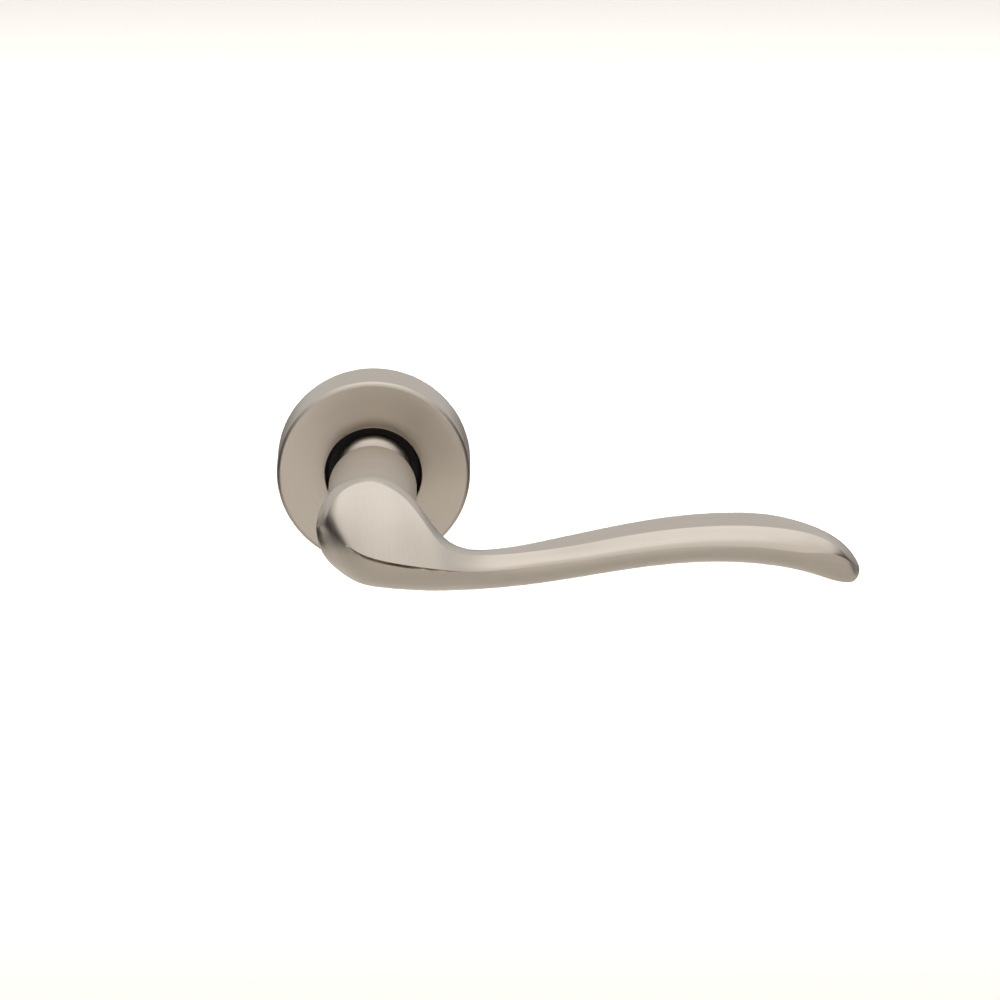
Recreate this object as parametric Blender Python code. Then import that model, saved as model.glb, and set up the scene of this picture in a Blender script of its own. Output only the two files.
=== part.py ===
"""Door lever handle on a round rose.

The frame: the origin is on the turning axis in the plane of the door face, +X runs along the lever,
+Z is up, and -Y points out of the door at the user. Sizes below are in millimetres. "Front" is the
distance out of the door face, so a point's Y is minus its front.
"""

from math import asin, cos, pi, radians, sin

import bmesh
import bpy
import numpy as np
from mathutils import Matrix, Vector

MM = 0.001
GAP = 0.3  # between pieces that touch
SIDES = 40  # facets round the large turned pieces
SMALL_SIDES = 16  # facets round the fasteners

# Rose: a pressed cup that hides the plate
ROSE_RADIUS = 25.0
ROSE_DEPTH = 12.0
ROSE_WALL = 1.1
ROSE_FILLET = 1.45
ROSE_HOLE_RADIUS = 12.55
NOTCH_WIDTH = 6.0
NOTCH_DEPTH = 1.2

# Mounting plate: the moulded base inside the rose
PLATE_RADIUS = 23.5
PLATE_DEPTH = 10.2
FRONT_RECESS_RADIUS = 13.7
WEB_FRONT = 6.8
WEB_BACK = 4.2
WEB_BORE_RADIUS = 9.9
WEB_RADIUS = 11.4
SPRING_POCKET_RADIUS = 14.2
SPRING_POCKET_END = 6.0
RIM_GROOVE_BACK = 2.2
RIM_GROOVE_FRONT = 3.6
RIM_GROOVE_RADIUS = 22.5
FIXING_CIRCLE_RADIUS = 19.0

# Lever: the turned stem
JOURNAL_RADIUS = 8.0
JOURNAL_BACK = -0.8
RING_GROOVE_BACK = 0.1
RING_GROOVE_FRONT = 1.3
RING_GROOVE_RADIUS = 7.0
FLAT_DISTANCE = 7.0
COLLAR_BACK = 8.95
COLLAR_RADIUS = 9.8
DOME_BACK = 9.3  # the collar's domed front starts here
DOME_RADIUS = 6.2
DOME_START = 36
DOME_END = 66
NECK_RADIUS = 11.3
NECK_BACK = 21.8
NECK_FILLET = 1.4
NECK_END = 49.0

# Lever: the rounded ends of the cast arm
BUTT_X = -13.8
BUTT_RADIUS = 12.0
TIP_X = 123.8
TIP_RADIUS = 8.0
RING_SPACING = 4.0

# Square spindle and the grub screw that clamps it
SPINDLE_SIDE = 8.0
SPINDLE_FRONT = 29.5
SPINDLE_BACK = -55.0
SOCKET_END = 30.0
GRUB_FRONT = 26.0
GRUB_RADIUS = 2.7

# Stack inside the plate, from the back
RETAINING_RING = (0.35, 1.05)
RETAINING_RING_RADIUS = 9.2
RETAINING_RING_OPENING = 14.0  # half the open angle, in degrees
RING_EYE_RADIUS = 1.3
RING_EYE_HOLE_RADIUS = 0.6
DRIVE_PLATE = (1.4, 2.9)
DRIVE_PLATE_RADIUS = 11.2
DRIVE_FLAT_WIDTH = 9.2
WAVE_WASHER = (3.2, 3.95)
WAVE_WASHER_RADIUS = 9.75
BUSH_FLANGE = (7.1, 7.95)
THRUST_WASHER = (8.2, 8.7)
THRUST_WASHER_RADIUS = 11.8

# Turning limits
TURN_RANGE = 45.0
STOP_ANGLE = 200.0
STOP_HALF_WIDTH = 8.0
STOP_SLACK = 2.0
STOP_PEG = (10.1, 10.9)  # inner and outer radius
STOP_WINDOW = (9.6, 12.5)

# Return spring
SPRING_RADIUS = 12.75
SPRING_WIRE_RADIUS = 0.6
SPRING_TURNS = 2.25
SPRING_FRONTS = (2.15, 5.2)
SPRING_ANCHOR_ANGLE = 90.0
SPRING_OUTER_END = 16.4
SPRING_INNER_END = 10.3
SPRING_SLOT_RADIUS = 17.0
SPRING_NOTCH = (9.8, 12.5)

# Fasteners through the door
LUG_RADIUS = 2.85
LUG_BORE_RADIUS = 2.25
LUG_BACK = -10.0
LUG_COLLAR = (5.3, 6.3)
LUG_COLLAR_RADIUS = 3.4
LUG_RECESS_FLOOR = 5.0
BOLT_RADIUS = 1.9
BOLT_BACK = -30.0
BOLT_HEAD = (6.6, 9.3)
BOLT_HEAD_RADIUS = 3.4
BOLT_SOCKET = 2.5  # across flats
SCREW_RADIUS = 1.75
SCREW_BACK = -13.0
SCREW_HEAD = (6.3, 8.6)
SCREW_HEAD_RADIUS = 3.5
SCREW_RECESS_RADIUS = 3.9
SCREW_RECESS_FLOOR = 6.0

# Hollows in the back of the plate
REAR_POCKET = (15.8, 21.8)  # inner and outer radius
REAR_POCKET_FRONT = 7.5
REAR_POCKET_ANGLES = (68, 112, 248, 292)

# Wire ring that grips the rose
SNAP_RING_RADIUS = 23.2
SNAP_WIRE_RADIUS = 0.4

# Lines that run along the cast arm, as (x, front, z). Every one starts at the butt and ends at the tip.
BUTT = (BUTT_X, 52.5, -0.8)
TIP = (TIP_X, 52.6, -12.0)
CROWN = [
    BUTT, (-12.2, 49.4, 4.4), (-8.0, 47.3, 9.15), (-3.0, 49.0, 11.5), (1.5, 49.4, 11.95),
    (6.5, 49.5, 10.1), (11.0, 50.6, 6.3), (15.0, 51.0, 0.7), (19.0, 51.0, -4.2), (24.0, 51.0, -6.8),
    (30.0, 50.9, -7.1), (45.0, 50.4, -4.7), (60.0, 49.9, -1.5), (75.0, 48.9, 0.9), (91.0, 48.0, 1.8),
    (102.0, 48.0, 1.1), (110.0, 48.1, -1.0), (117.0, 48.7, -4.1), (121.5, 50.0, -7.7),
    (123.2, 51.3, -10.1), TIP,
]
UPPER_CREASE = [
    BUTT, (-12.7, 53.9, 0.7), (-11.3, 55.3, 3.4), (-8.2, 54.0, 8.2), (-4.5, 52.5, 10.5),
    (0.5, 52.3, 11.35), (5.0, 53.8, 10.1), (9.5, 57.0, 7.65), (14.5, 61.0, 2.15), (19.0, 62.6, -2.7),
    (24.0, 61.3, -4.9), (30.0, 58.9, -5.9), (41.0, 57.5, -5.45), (52.0, 57.2, -3.9), (61.0, 57.2, -2.1),
    (72.0, 57.2, -0.2), (83.0, 57.2, 1.0), (92.0, 57.1, 1.3), (101.0, 56.9, 0.8), (108.5, 57.2, -0.2),
    (113.5, 58.2, -1.4), (118.2, 58.8, -4.1), (121.0, 57.6, -7.3), (122.6, 55.2, -9.7), TIP,
]
LOWER_CREASE = [
    BUTT, (-12.7, 54.0, -0.4), (-11.3, 56.3, -0.2), (-7.8, 60.0, -1.4), (-3.0, 63.3, -3.8),
    (2.0, 65.2, -5.1), (9.5, 66.2, -6.3), (17.0, 66.2, -7.3), (24.5, 64.2, -8.6), (34.0, 61.6, -9.0),
    (52.0, 60.9, -7.1), (72.0, 61.0, -4.3), (88.0, 61.0, -3.2), (101.0, 60.6, -3.7),
    (111.0, 60.2, -5.0), (118.2, 59.8, -5.8), (121.0, 58.0, -8.0), (122.6, 55.4, -10.4), TIP,
]
KEEL = [
    BUTT, (-12.6, 53.2, -6.6), (-8.2, 54.0, -11.7), (-3.0, 56.2, -14.3), (3.0, 57.8, -15.1),
    (14.0, 58.0, -15.8), (25.0, 57.0, -15.9), (45.0, 56.2, -14.1), (64.0, 55.9, -11.0),
    (86.0, 55.4, -9.0), (102.0, 54.8, -10.2), (113.0, 54.3, -12.9), (119.5, 53.7, -15.0),
    (122.8, 53.2, -14.6), TIP,
]
HEEL = [
    BUTT, (-12.4, 49.8, -5.6), (-8.2, 47.5, -10.2), (-3.0, 47.2, -12.6), (3.0, 47.6, -13.2),
    (14.0, 49.6, -14.6), (25.0, 51.0, -15.2), (45.0, 50.4, -12.9), (64.0, 49.6, -9.8),
    (86.0, 48.8, -7.6), (102.0, 48.8, -8.8), (113.0, 49.5, -11.7), (119.5, 50.6, -13.6),
    (122.8, 51.6, -13.4), TIP,
]
BACK = [
    BUTT, (-12.2, 48.2, -0.9), (-8.0, 45.0, -1.5), (-3.0, 44.3, -2.0), (3.0, 44.5, -2.6),
    (12.0, 46.0, -5.6), (19.0, 47.6, -10.2), (25.0, 48.2, -11.6), (45.0, 47.6, -9.0),
    (64.0, 46.6, -5.8), (86.0, 45.3, -3.3), (102.0, 45.4, -3.9), (114.0, 46.8, -7.8),
    (120.5, 49.0, -10.9), (123.1, 51.0, -12.2), TIP,
]
# How round each crease is, as (x, softness): 0 is a crisp edge, 1 is a smooth surface
UPPER_SOFTNESS = [(-11.5, 1.0), (-8.5, 0.5), (-6.5, 0.0)]
LOWER_SOFTNESS = [
    (-12.0, 1.0), (-9.0, 0.9), (-6.0, 0.2), (-4.5, 0.0), (20.0, 0.0), (45.0, 0.8), (83.0, 0.8),
    (110.0, 0.3),
]
FACE_CROWN = 0.03  # bulge of the front face, as a share of its height
LIP_FLATNESS = 0.75  # of the band between the crown and the upper crease
SPAN_STEPS = (4, 4, 4, 3, 3, 3)  # facets between one line and the next, from the crown forward and round


def point(x, front, z):
    return Vector((x, -front, z)) * MM


def material(name, colour, roughness, metallic):
    shader = bpy.data.materials.new(name)
    shader.use_nodes = True
    principled = shader.node_tree.nodes["Principled BSDF"]
    principled.inputs["Base Color"].default_value = (*colour, 1.0)
    principled.inputs["Roughness"].default_value = roughness
    principled.inputs["Metallic"].default_value = metallic
    return shader


def add_object(name, mesh, shader, location=(0, 0, 0), parent=None):
    """One object with its faces turned outwards, smooth but for its sharp edges."""
    bmesh.ops.recalc_face_normals(mesh, faces=mesh.faces)
    data = bpy.data.meshes.new(name)
    mesh.to_mesh(data)
    mesh.free()
    data.shade_smooth()
    data.set_sharp_from_angle(angle=radians(30))
    if shader:
        data.materials.append(shader)
    thing = bpy.data.objects.new(name, data)
    bpy.context.scene.collection.objects.link(thing)
    thing.location = location
    thing.parent = parent
    return thing


def skin(mesh, ring, next_ring):
    """Faces between two rings of points, where either may be a single point."""
    count = max(len(ring), len(next_ring))
    for i in range(count):
        j = (i + 1) % count
        if len(ring) == 1:
            mesh.faces.new((ring[0], next_ring[j], next_ring[i]))
        elif len(next_ring) == 1:
            mesh.faces.new((ring[i], ring[j], next_ring[0]))
        else:
            mesh.faces.new((ring[i], ring[j], next_ring[j], next_ring[i]))


def turned(profile, sides=SIDES):
    """A body turned about the Y axis from (radius, front) points, solid if the first is on the axis."""
    mesh = bmesh.new()
    rings = []
    for radius, front in profile:
        if radius == 0:
            rings.append([mesh.verts.new(point(0, front, 0))])
            continue
        angles = [2 * pi * i / sides for i in range(sides)]
        rings.append([mesh.verts.new(point(radius * cos(a), front, radius * sin(a))) for a in angles])
    following = rings[1:] + rings[:1] if profile[0][0] > 0 else rings[1:]
    for ring, next_ring in zip(rings, following):
        skin(mesh, ring, next_ring)
    return mesh


def plain_ring(inner, outer, back, front):
    return [(inner, back), (outer, back), (outer, front), (inner, front)]


def plug(radius, back, front):
    return [(0, back), (radius, back), (radius, front), (0, front)]


def prism(outline, back, front):
    """An outline of (x, z) points, extruded from back to front."""
    mesh = bmesh.new()
    rings = [[mesh.verts.new(point(x, depth, z)) for x, z in outline] for depth in (back, front)]
    skin(mesh, *rings)
    mesh.faces.new(rings[0])
    mesh.faces.new(list(reversed(rings[1])))
    return mesh


def sector(inner, outer, start, end, steps=12):
    """The outline of a piece of a ring between two angles in degrees."""
    angles = [radians(start + (end - start) * i / steps) for i in range(steps + 1)]
    outside = [(outer * cos(a), outer * sin(a)) for a in angles]
    inside = [(inner * cos(a), inner * sin(a)) for a in reversed(angles)]
    return outside + inside


def box(x_range, front_range, z_range):
    (x0, x1), (z0, z1) = x_range, z_range
    return prism([(x0, z0), (x1, z0), (x1, z1), (x0, z1)], *front_range)


def combine(target, tool, operation):
    """Cut a tool out of the target, or join it on, and keep the tool as a hidden guide."""
    tool.hide_render = True
    tool.display_type = "WIRE"
    tool.parent = target.parent
    modifier = target.modifiers.new(tool.name, "BOOLEAN")
    modifier.operation = operation
    modifier.object = tool
    modifier.solver = "EXACT"


def cut(target, name, mesh, location=(0, 0, 0)):
    combine(target, add_object(name, mesh, None, location), "DIFFERENCE")


def join(target, name, mesh, location=(0, 0, 0)):
    combine(target, add_object(name, mesh, target.data.materials[0], location), "UNION")


def polar(radius, angle):
    """The X and Z of a place on a circle about the turning axis, the angle in degrees from +X towards +Z."""
    return radius * cos(radians(angle)), radius * sin(radians(angle))


def smooth_curve(knots, values, at):
    """A natural cubic spline through the values, read at the given places."""
    knots, values = np.array(knots), np.array(values)
    step = np.diff(knots)
    slope = np.diff(values, axis=0) / step[:, None]
    system = np.eye(len(knots))
    right = np.zeros_like(values)
    for i in range(1, len(knots) - 1):
        system[i, i - 1 : i + 2] = step[i - 1], 2 * (step[i - 1] + step[i]), step[i]
        right[i] = 6 * (slope[i] - slope[i - 1])
    bend = np.linalg.solve(system, right)
    i = np.clip(np.searchsorted(knots, at) - 1, 0, len(step) - 1)
    h, a, b = step[i][:, None], (knots[i + 1] - at)[:, None], (at - knots[i])[:, None]
    cubic = (bend[i] * a**3 + bend[i + 1] * b**3) / (6 * h)
    return cubic + (values[i] / h - bend[i] * h / 6) * a + (values[i + 1] / h - bend[i + 1] * h / 6) * b


def travel(x):
    """Distance along the arm: x itself in the middle, and arc length round its two rounded ends."""
    left, right = BUTT_X + BUTT_RADIUS, TIP_X - TIP_RADIUS
    if x < left:
        return left - BUTT_RADIUS * asin(min(1.0, (left - x) / BUTT_RADIUS))
    if x > right:
        return right + TIP_RADIUS * asin(min(1.0, (x - right) / TIP_RADIUS))
    return x


def arm_stations():
    start, end = travel(BUTT_X), travel(TIP_X)
    count = round((end - start) / RING_SPACING)
    return np.array([start + (end - start) * i / count for i in range(count + 1)])


def station_x(distance):
    left, right = BUTT_X + BUTT_RADIUS, TIP_X - TIP_RADIUS
    if distance < left:
        return left - BUTT_RADIUS * sin((left - distance) / BUTT_RADIUS)
    if distance > right:
        return right + TIP_RADIUS * sin((distance - right) / TIP_RADIUS)
    return distance


def section(corners, upper_softness, lower_softness):
    """One closed section of the arm through its six corners: crown, two creases, keel, heel and back."""
    smooth = [(corners[(k + 1) % 6] - corners[k - 1]) / 2 for k in range(6)]
    outline = []
    for k, steps in enumerate(SPAN_STEPS):
        start, end = corners[k], corners[(k + 1) % 6]
        chord = end - start
        leave, arrive = smooth[k], smooth[(k + 1) % 6]
        reach = np.linalg.norm(chord)
        leave = leave / max(np.linalg.norm(leave), 1e-9) * reach
        arrive = arrive / max(np.linalg.norm(arrive), 1e-9) * reach
        bulge = FACE_CROWN * 4 * np.array([-chord[1], chord[0]])
        if k == 0:
            leave += LIP_FLATNESS * (1 - upper_softness) * (chord - leave)
            arrive += (1 - upper_softness) * (2 * chord - leave - arrive)
        if k == 1:
            leave += (1 - upper_softness) * (chord + bulge - leave)
            arrive += (1 - lower_softness) * (chord - bulge - arrive)
        if k == 2:
            leave += (1 - lower_softness) * (2 * chord - arrive - leave)
        for i in range(steps):
            t = i / steps
            blend = start * (1 + 2 * t) * (1 - t) ** 2 + end * t * t * (3 - 2 * t)
            outline.append(blend + leave * t * (1 - t) ** 2 - arrive * t * t * (1 - t))
    return outline


def arm():
    """The cast arm: rings of points round the lines that run along it, closed at the butt and the tip."""
    stations = arm_stations()
    lines = []
    for line in (CROWN, UPPER_CREASE, LOWER_CREASE, KEEL, HEEL, BACK):
        knots = [travel(x) for x, front, z in line]
        lines.append(smooth_curve(knots, [(front, z) for x, front, z in line], stations))
    mesh = bmesh.new()
    rings = [[mesh.verts.new(point(*BUTT))]]
    for index in range(1, len(stations) - 1):
        x = station_x(stations[index])
        upper, lower = (np.interp(x, *zip(*table)) for table in (UPPER_SOFTNESS, LOWER_SOFTNESS))
        outline = section([line[index] for line in lines], upper, lower)
        rings.append([mesh.verts.new(point(x, front, z)) for front, z in outline])
    rings.append([mesh.verts.new(point(*TIP))])
    for ring, next_ring in zip(rings, rings[1:]):
        skin(mesh, ring, next_ring)
    return mesh


def arc(centre_radius, centre_front, radius, start, end, steps=4):
    """Points of a fillet in a turned profile, the angles in degrees from outward towards the front."""
    angles = [radians(start + (end - start) * i / steps) for i in range(steps + 1)]
    return [(centre_radius + radius * cos(a), centre_front + radius * sin(a)) for a in angles]


def build_lever(shader, parent):
    profile = [(0, JOURNAL_BACK), (JOURNAL_RADIUS - 0.5, JOURNAL_BACK), (JOURNAL_RADIUS, JOURNAL_BACK + 0.5)]
    profile += [(JOURNAL_RADIUS, RING_GROOVE_BACK), (RING_GROOVE_RADIUS, RING_GROOVE_BACK)]
    profile += [(RING_GROOVE_RADIUS, RING_GROOVE_FRONT), (JOURNAL_RADIUS, RING_GROOVE_FRONT)]
    profile += [(JOURNAL_RADIUS, COLLAR_BACK), (COLLAR_RADIUS, COLLAR_BACK)]
    dome_radius, dome_front = DOME_RADIUS * cos(radians(DOME_START)), DOME_RADIUS * sin(radians(DOME_START))
    profile += arc(COLLAR_RADIUS - dome_radius, DOME_BACK - dome_front, DOME_RADIUS, DOME_START, DOME_END)
    profile += [(profile[-1][0], NECK_BACK)]
    profile += arc(NECK_RADIUS - NECK_FILLET, NECK_BACK + NECK_FILLET, NECK_FILLET, -90, 0)
    profile += [(NECK_RADIUS, NECK_END), (0, NECK_END)]
    lever = add_object("lever", turned(profile), shader, parent=parent)
    join(lever, "arm_form", arm())
    half = SPINDLE_SIDE / 2 + GAP / 2
    cut(lever, "socket_cutter", box((-half, half), (JOURNAL_BACK - 1, SOCKET_END), (-half, half)))
    reach = JOURNAL_RADIUS + 1
    for name, side in (("flat_cutter_left", -1), ("flat_cutter_right", 1)):
        x_range = sorted((side * FLAT_DISTANCE, side * reach))
        cut(lever, name, box(x_range, (RING_GROOVE_FRONT + 0.001, DRIVE_PLATE[1] + GAP), (-reach, reach)))
    hole = turned(plug(GRUB_RADIUS + GAP, 0, 10), SMALL_SIDES)
    bmesh.ops.rotate(hole, cent=(0, 0, 0), matrix=Matrix.Rotation(radians(-90), 3, "X"), verts=hole.verts)
    cut(lever, "grub_hole_cutter", hole, point(0, GRUB_FRONT, -half - 9))
    return lever


def build_rose_cover(shader, parent):
    inner = ROSE_RADIUS - ROSE_WALL
    front = ROSE_DEPTH - ROSE_WALL
    profile = [(inner, 0), (ROSE_RADIUS, 0)]
    profile += arc(ROSE_RADIUS - ROSE_FILLET, ROSE_DEPTH - ROSE_FILLET, ROSE_FILLET, 0, 90)
    profile += [(ROSE_HOLE_RADIUS + 0.15, ROSE_DEPTH), (ROSE_HOLE_RADIUS, ROSE_DEPTH - 0.15)]
    profile += [(ROSE_HOLE_RADIUS, front), (inner - 0.6, front), (inner, front - 0.6)]
    cover = add_object("rose_cover", turned(profile, 56), shader, parent=parent)
    notch = box((-NOTCH_WIDTH / 2, NOTCH_WIDTH / 2), (-1, NOTCH_DEPTH), (-ROSE_RADIUS - 1, -inner + 1))
    cut(cover, "notch_cutter", notch)
    return cover


def build_mounting_plate(shader):
    profile = [(SPRING_POCKET_RADIUS, 0), (PLATE_RADIUS, 0), (PLATE_RADIUS, RIM_GROOVE_BACK)]
    profile += [(RIM_GROOVE_RADIUS, RIM_GROOVE_BACK), (RIM_GROOVE_RADIUS, RIM_GROOVE_FRONT)]
    profile += [(PLATE_RADIUS, RIM_GROOVE_FRONT), (PLATE_RADIUS, PLATE_DEPTH - 0.5)]
    profile += [(PLATE_RADIUS - 0.5, PLATE_DEPTH), (FRONT_RECESS_RADIUS, PLATE_DEPTH)]
    profile += [(FRONT_RECESS_RADIUS, WEB_FRONT), (WEB_BORE_RADIUS, WEB_FRONT), (WEB_BORE_RADIUS, WEB_BACK)]
    profile += [(WEB_RADIUS, WEB_BACK), (WEB_RADIUS, SPRING_POCKET_END)]
    profile += [(SPRING_POCKET_RADIUS, SPRING_POCKET_END)]
    plate = add_object("mounting_plate", turned(profile), shader)
    for side, angle in (("right", 0), ("left", 180)):
        x, z = polar(FIXING_CIRCLE_RADIUS, angle)
        hole = fixing_hole(LUG_RADIUS + GAP, LUG_COLLAR_RADIUS + GAP, LUG_RECESS_FLOOR)
        cut(plate, f"lug_hole_{side}", hole, point(x, 0, z))
    for number in range(4):
        x, z = polar(FIXING_CIRCLE_RADIUS, 45 + 90 * number)
        hole = fixing_hole(SCREW_RADIUS + GAP, SCREW_RECESS_RADIUS, SCREW_RECESS_FLOOR)
        cut(plate, f"screw_hole_{number + 1}", hole, point(x, 0, z))
    for number, angle in enumerate(REAR_POCKET_ANGLES):
        outline = sector(*REAR_POCKET, angle - 8, angle + 8, 4)
        cut(plate, f"rear_pocket_{number + 1}", prism(outline, -1, REAR_POCKET_FRONT))
    around = (SPRING_ANCHOR_ANGLE - 4, SPRING_ANCHOR_ANGLE + 4)
    slot = sector(SPRING_POCKET_RADIUS - 1, SPRING_SLOT_RADIUS, *around, 2)
    cut(plate, "spring_slot_cutter", prism(slot, -1, SPRING_POCKET_END - 0.1))
    peg = sector(*STOP_PEG, STOP_ANGLE - STOP_HALF_WIDTH, STOP_ANGLE + STOP_HALF_WIDTH, 4)
    join(plate, "stop_peg", prism(peg, DRIVE_PLATE[0] + 0.2, WEB_BACK + 0.5))
    return plate


def fixing_hole(radius, head_radius, floor):
    """A stepped cutter: a plain hole from the back and a wider one for the head from the front."""
    profile = [(0, -1), (radius, -1), (radius, floor), (head_radius, floor), (head_radius, PLATE_DEPTH + 1)]
    return turned(profile + [(0, PLATE_DEPTH + 1)], SMALL_SIDES)


def build_bearing(shader):
    bore = JOURNAL_RADIUS + GAP
    flange_back, flange_front = BUSH_FLANGE
    profile = [(bore, WEB_BACK + 0.1), (WEB_BORE_RADIUS - GAP, WEB_BACK + 0.1)]
    profile += [(WEB_BORE_RADIUS - GAP, flange_back), (FRONT_RECESS_RADIUS - GAP, flange_back)]
    profile += [(FRONT_RECESS_RADIUS - GAP, flange_front), (bore, flange_front)]
    add_object("bearing_bush", turned(profile), shader)
    add_object("thrust_washer", turned(plain_ring(bore, THRUST_WASHER_RADIUS, *THRUST_WASHER)), shader)


def build_drive_plate(shader, parent):
    back, front = DRIVE_PLATE
    bore = JOURNAL_RADIUS + GAP
    ring = turned(plain_ring(bore, DRIVE_PLATE_RADIUS, back, front))
    plate = add_object("drive_plate", ring, shader, parent=parent)
    flat = FLAT_DISTANCE + GAP
    z_range = (-DRIVE_FLAT_WIDTH / 2, DRIVE_FLAT_WIDTH / 2)
    for name, side in (("drive_flat_left", -1), ("drive_flat_right", 1)):
        x_range = sorted((side * flat, side * (bore + 0.8)))
        join(plate, name, box(x_range, (back + 0.05, front - 0.05), z_range))
    start = STOP_ANGLE - STOP_HALF_WIDTH - STOP_SLACK
    end = STOP_ANGLE + STOP_HALF_WIDTH + STOP_SLACK + TURN_RANGE
    cut(plate, "stop_window_cutter", prism(sector(*STOP_WINDOW, start, end), back - 1, front + 1))
    anchor = SPRING_ANCHOR_ANGLE - 360 * SPRING_TURNS
    slot = sector(*SPRING_NOTCH, anchor - 5, anchor + 5, 2)
    cut(plate, "spring_notch_cutter", prism(slot, back - 1, front + 1))
    return plate


def sweep_wire(path, wire_radius, sides=8):
    """A round wire along a path of points, with flat ends."""
    mesh = bmesh.new()
    rings = []
    for i, place in enumerate(path):
        ahead = (path[min(i + 1, len(path) - 1)] - path[max(i - 1, 0)]).normalized()
        across = Vector((0, 1, 0))
        across = (across - ahead * across.dot(ahead)).normalized()
        up = ahead.cross(across)
        angles = [2 * pi * k / sides for k in range(sides)]
        spokes = [across * cos(a) + up * sin(a) for a in angles]
        rings.append([mesh.verts.new(place + wire_radius * MM * spoke) for spoke in spokes])
    for ring, next_ring in zip(rings, rings[1:]):
        skin(mesh, ring, next_ring)
    mesh.faces.new(rings[0])
    mesh.faces.new(list(reversed(rings[-1])))
    return mesh


def build_return_spring(shader):
    """A torsion coil, hooked outwards in the plate at the front and inwards in the drive plate behind."""
    back, front = SPRING_FRONTS
    steps = round(SPRING_TURNS * 18)
    path = []
    for i in range(steps + 1):
        share = i / steps
        angle = SPRING_ANCHOR_ANGLE - 360 * SPRING_TURNS * share
        x, z = polar(SPRING_RADIUS, angle)
        path.append(point(x, front + (back - front) * share, z))
    outer_x, outer_z = polar(SPRING_OUTER_END, SPRING_ANCHOR_ANGLE)
    inner_x, inner_z = polar(SPRING_INNER_END, SPRING_ANCHOR_ANGLE - 360 * SPRING_TURNS)
    path = [point(outer_x, front, outer_z)] + path + [point(inner_x, back, inner_z)]
    return add_object("return_spring", sweep_wire(path, SPRING_WIRE_RADIUS), shader)


def build_wave_washer(shader, parent):
    """A thin washer whose height waves three times round."""
    mesh = turned(plain_ring(JOURNAL_RADIUS + GAP, WAVE_WASHER_RADIUS, *WAVE_WASHER))
    back, front = WAVE_WASHER
    thickness = 0.35
    swing = (front - back - thickness) / 2
    for vert in mesh.verts:
        angle = np.arctan2(vert.co.z, vert.co.x)
        face = thickness / 2 if -vert.co.y > (front + back) / 2 * MM else -thickness / 2
        vert.co.y = -((front + back) / 2 + swing * cos(3 * angle) + face) * MM
    return add_object("wave_washer", mesh, shader, parent=parent)


def build_retaining_ring(shader, parent):
    """An open ring for the journal's groove, with an eye at each end for the pliers."""
    back, front = RETAINING_RING
    inner, outer = RING_GROOVE_RADIUS + 0.25, RETAINING_RING_RADIUS
    outline = sector(inner, outer, 270 + RETAINING_RING_OPENING, 630 - RETAINING_RING_OPENING, 40)
    ring = add_object("retaining_ring", prism(outline, back, front), shader, parent=parent)
    for name, side in (("left", -1), ("right", 1)):
        x, z = polar(outer, 270 + side * (RETAINING_RING_OPENING + 7))
        eye = turned(plug(RING_EYE_RADIUS, back, front), SMALL_SIDES)
        hole = turned(plug(RING_EYE_HOLE_RADIUS, back - 1, front + 1), 12)
        join(ring, f"eye_{name}", eye, point(x, 0, z))
        cut(ring, f"eye_hole_{name}", hole, point(x, 0, z))
    return ring


def build_snap_ring(shader):
    """A round wire in the plate's rim groove, open at the top, that grips the rose from inside."""
    front = (RIM_GROOVE_BACK + RIM_GROOVE_FRONT) / 2
    angles = [100 + 340 * i / 48 for i in range(49)]
    path = [point(x, front, z) for x, z in (polar(SNAP_RING_RADIUS, angle) for angle in angles)]
    return add_object("snap_ring", sweep_wire(path, SNAP_WIRE_RADIUS, 6), shader)


def build_spindle(shader, parent):
    half = SPINDLE_SIDE / 2
    mesh = box((-half, half), (SPINDLE_BACK, SPINDLE_FRONT), (-half, half))
    spindle = add_object("spindle", mesh, shader, parent=parent)
    chamfer = spindle.modifiers.new("edge_chamfer", "BEVEL")
    chamfer.width = 0.5 * MM
    chamfer.segments = 1
    return spindle


def hexagon(across_flats):
    return [polar(across_flats / (2 * cos(radians(30))), 60 * k) for k in range(6)]


def build_grub_screw(shader, parent):
    """A socket set screw that comes up from under the neck. Its own axis runs along Z."""
    top = -SPINDLE_SIDE / 2 - GAP
    length = 6.2
    screw = turned([(0, 0), (GRUB_RADIUS - 0.4, 0), (GRUB_RADIUS, 0.4), (GRUB_RADIUS, length - 1.2),
                    (GRUB_RADIUS - 1.2, length), (0, length)], SMALL_SIDES)
    socket = prism(hexagon(3.0), -1, 2.8)
    for mesh in (screw, socket):
        bmesh.ops.rotate(mesh, cent=(0, 0, 0), matrix=Matrix.Rotation(radians(-90), 3, "X"), verts=mesh.verts)
    place = point(0, GRUB_FRONT, top - length)
    grub = add_object("grub_screw", screw, shader, place, parent)
    cut(grub, "grub_socket_cutter", socket, place)
    return grub


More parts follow.
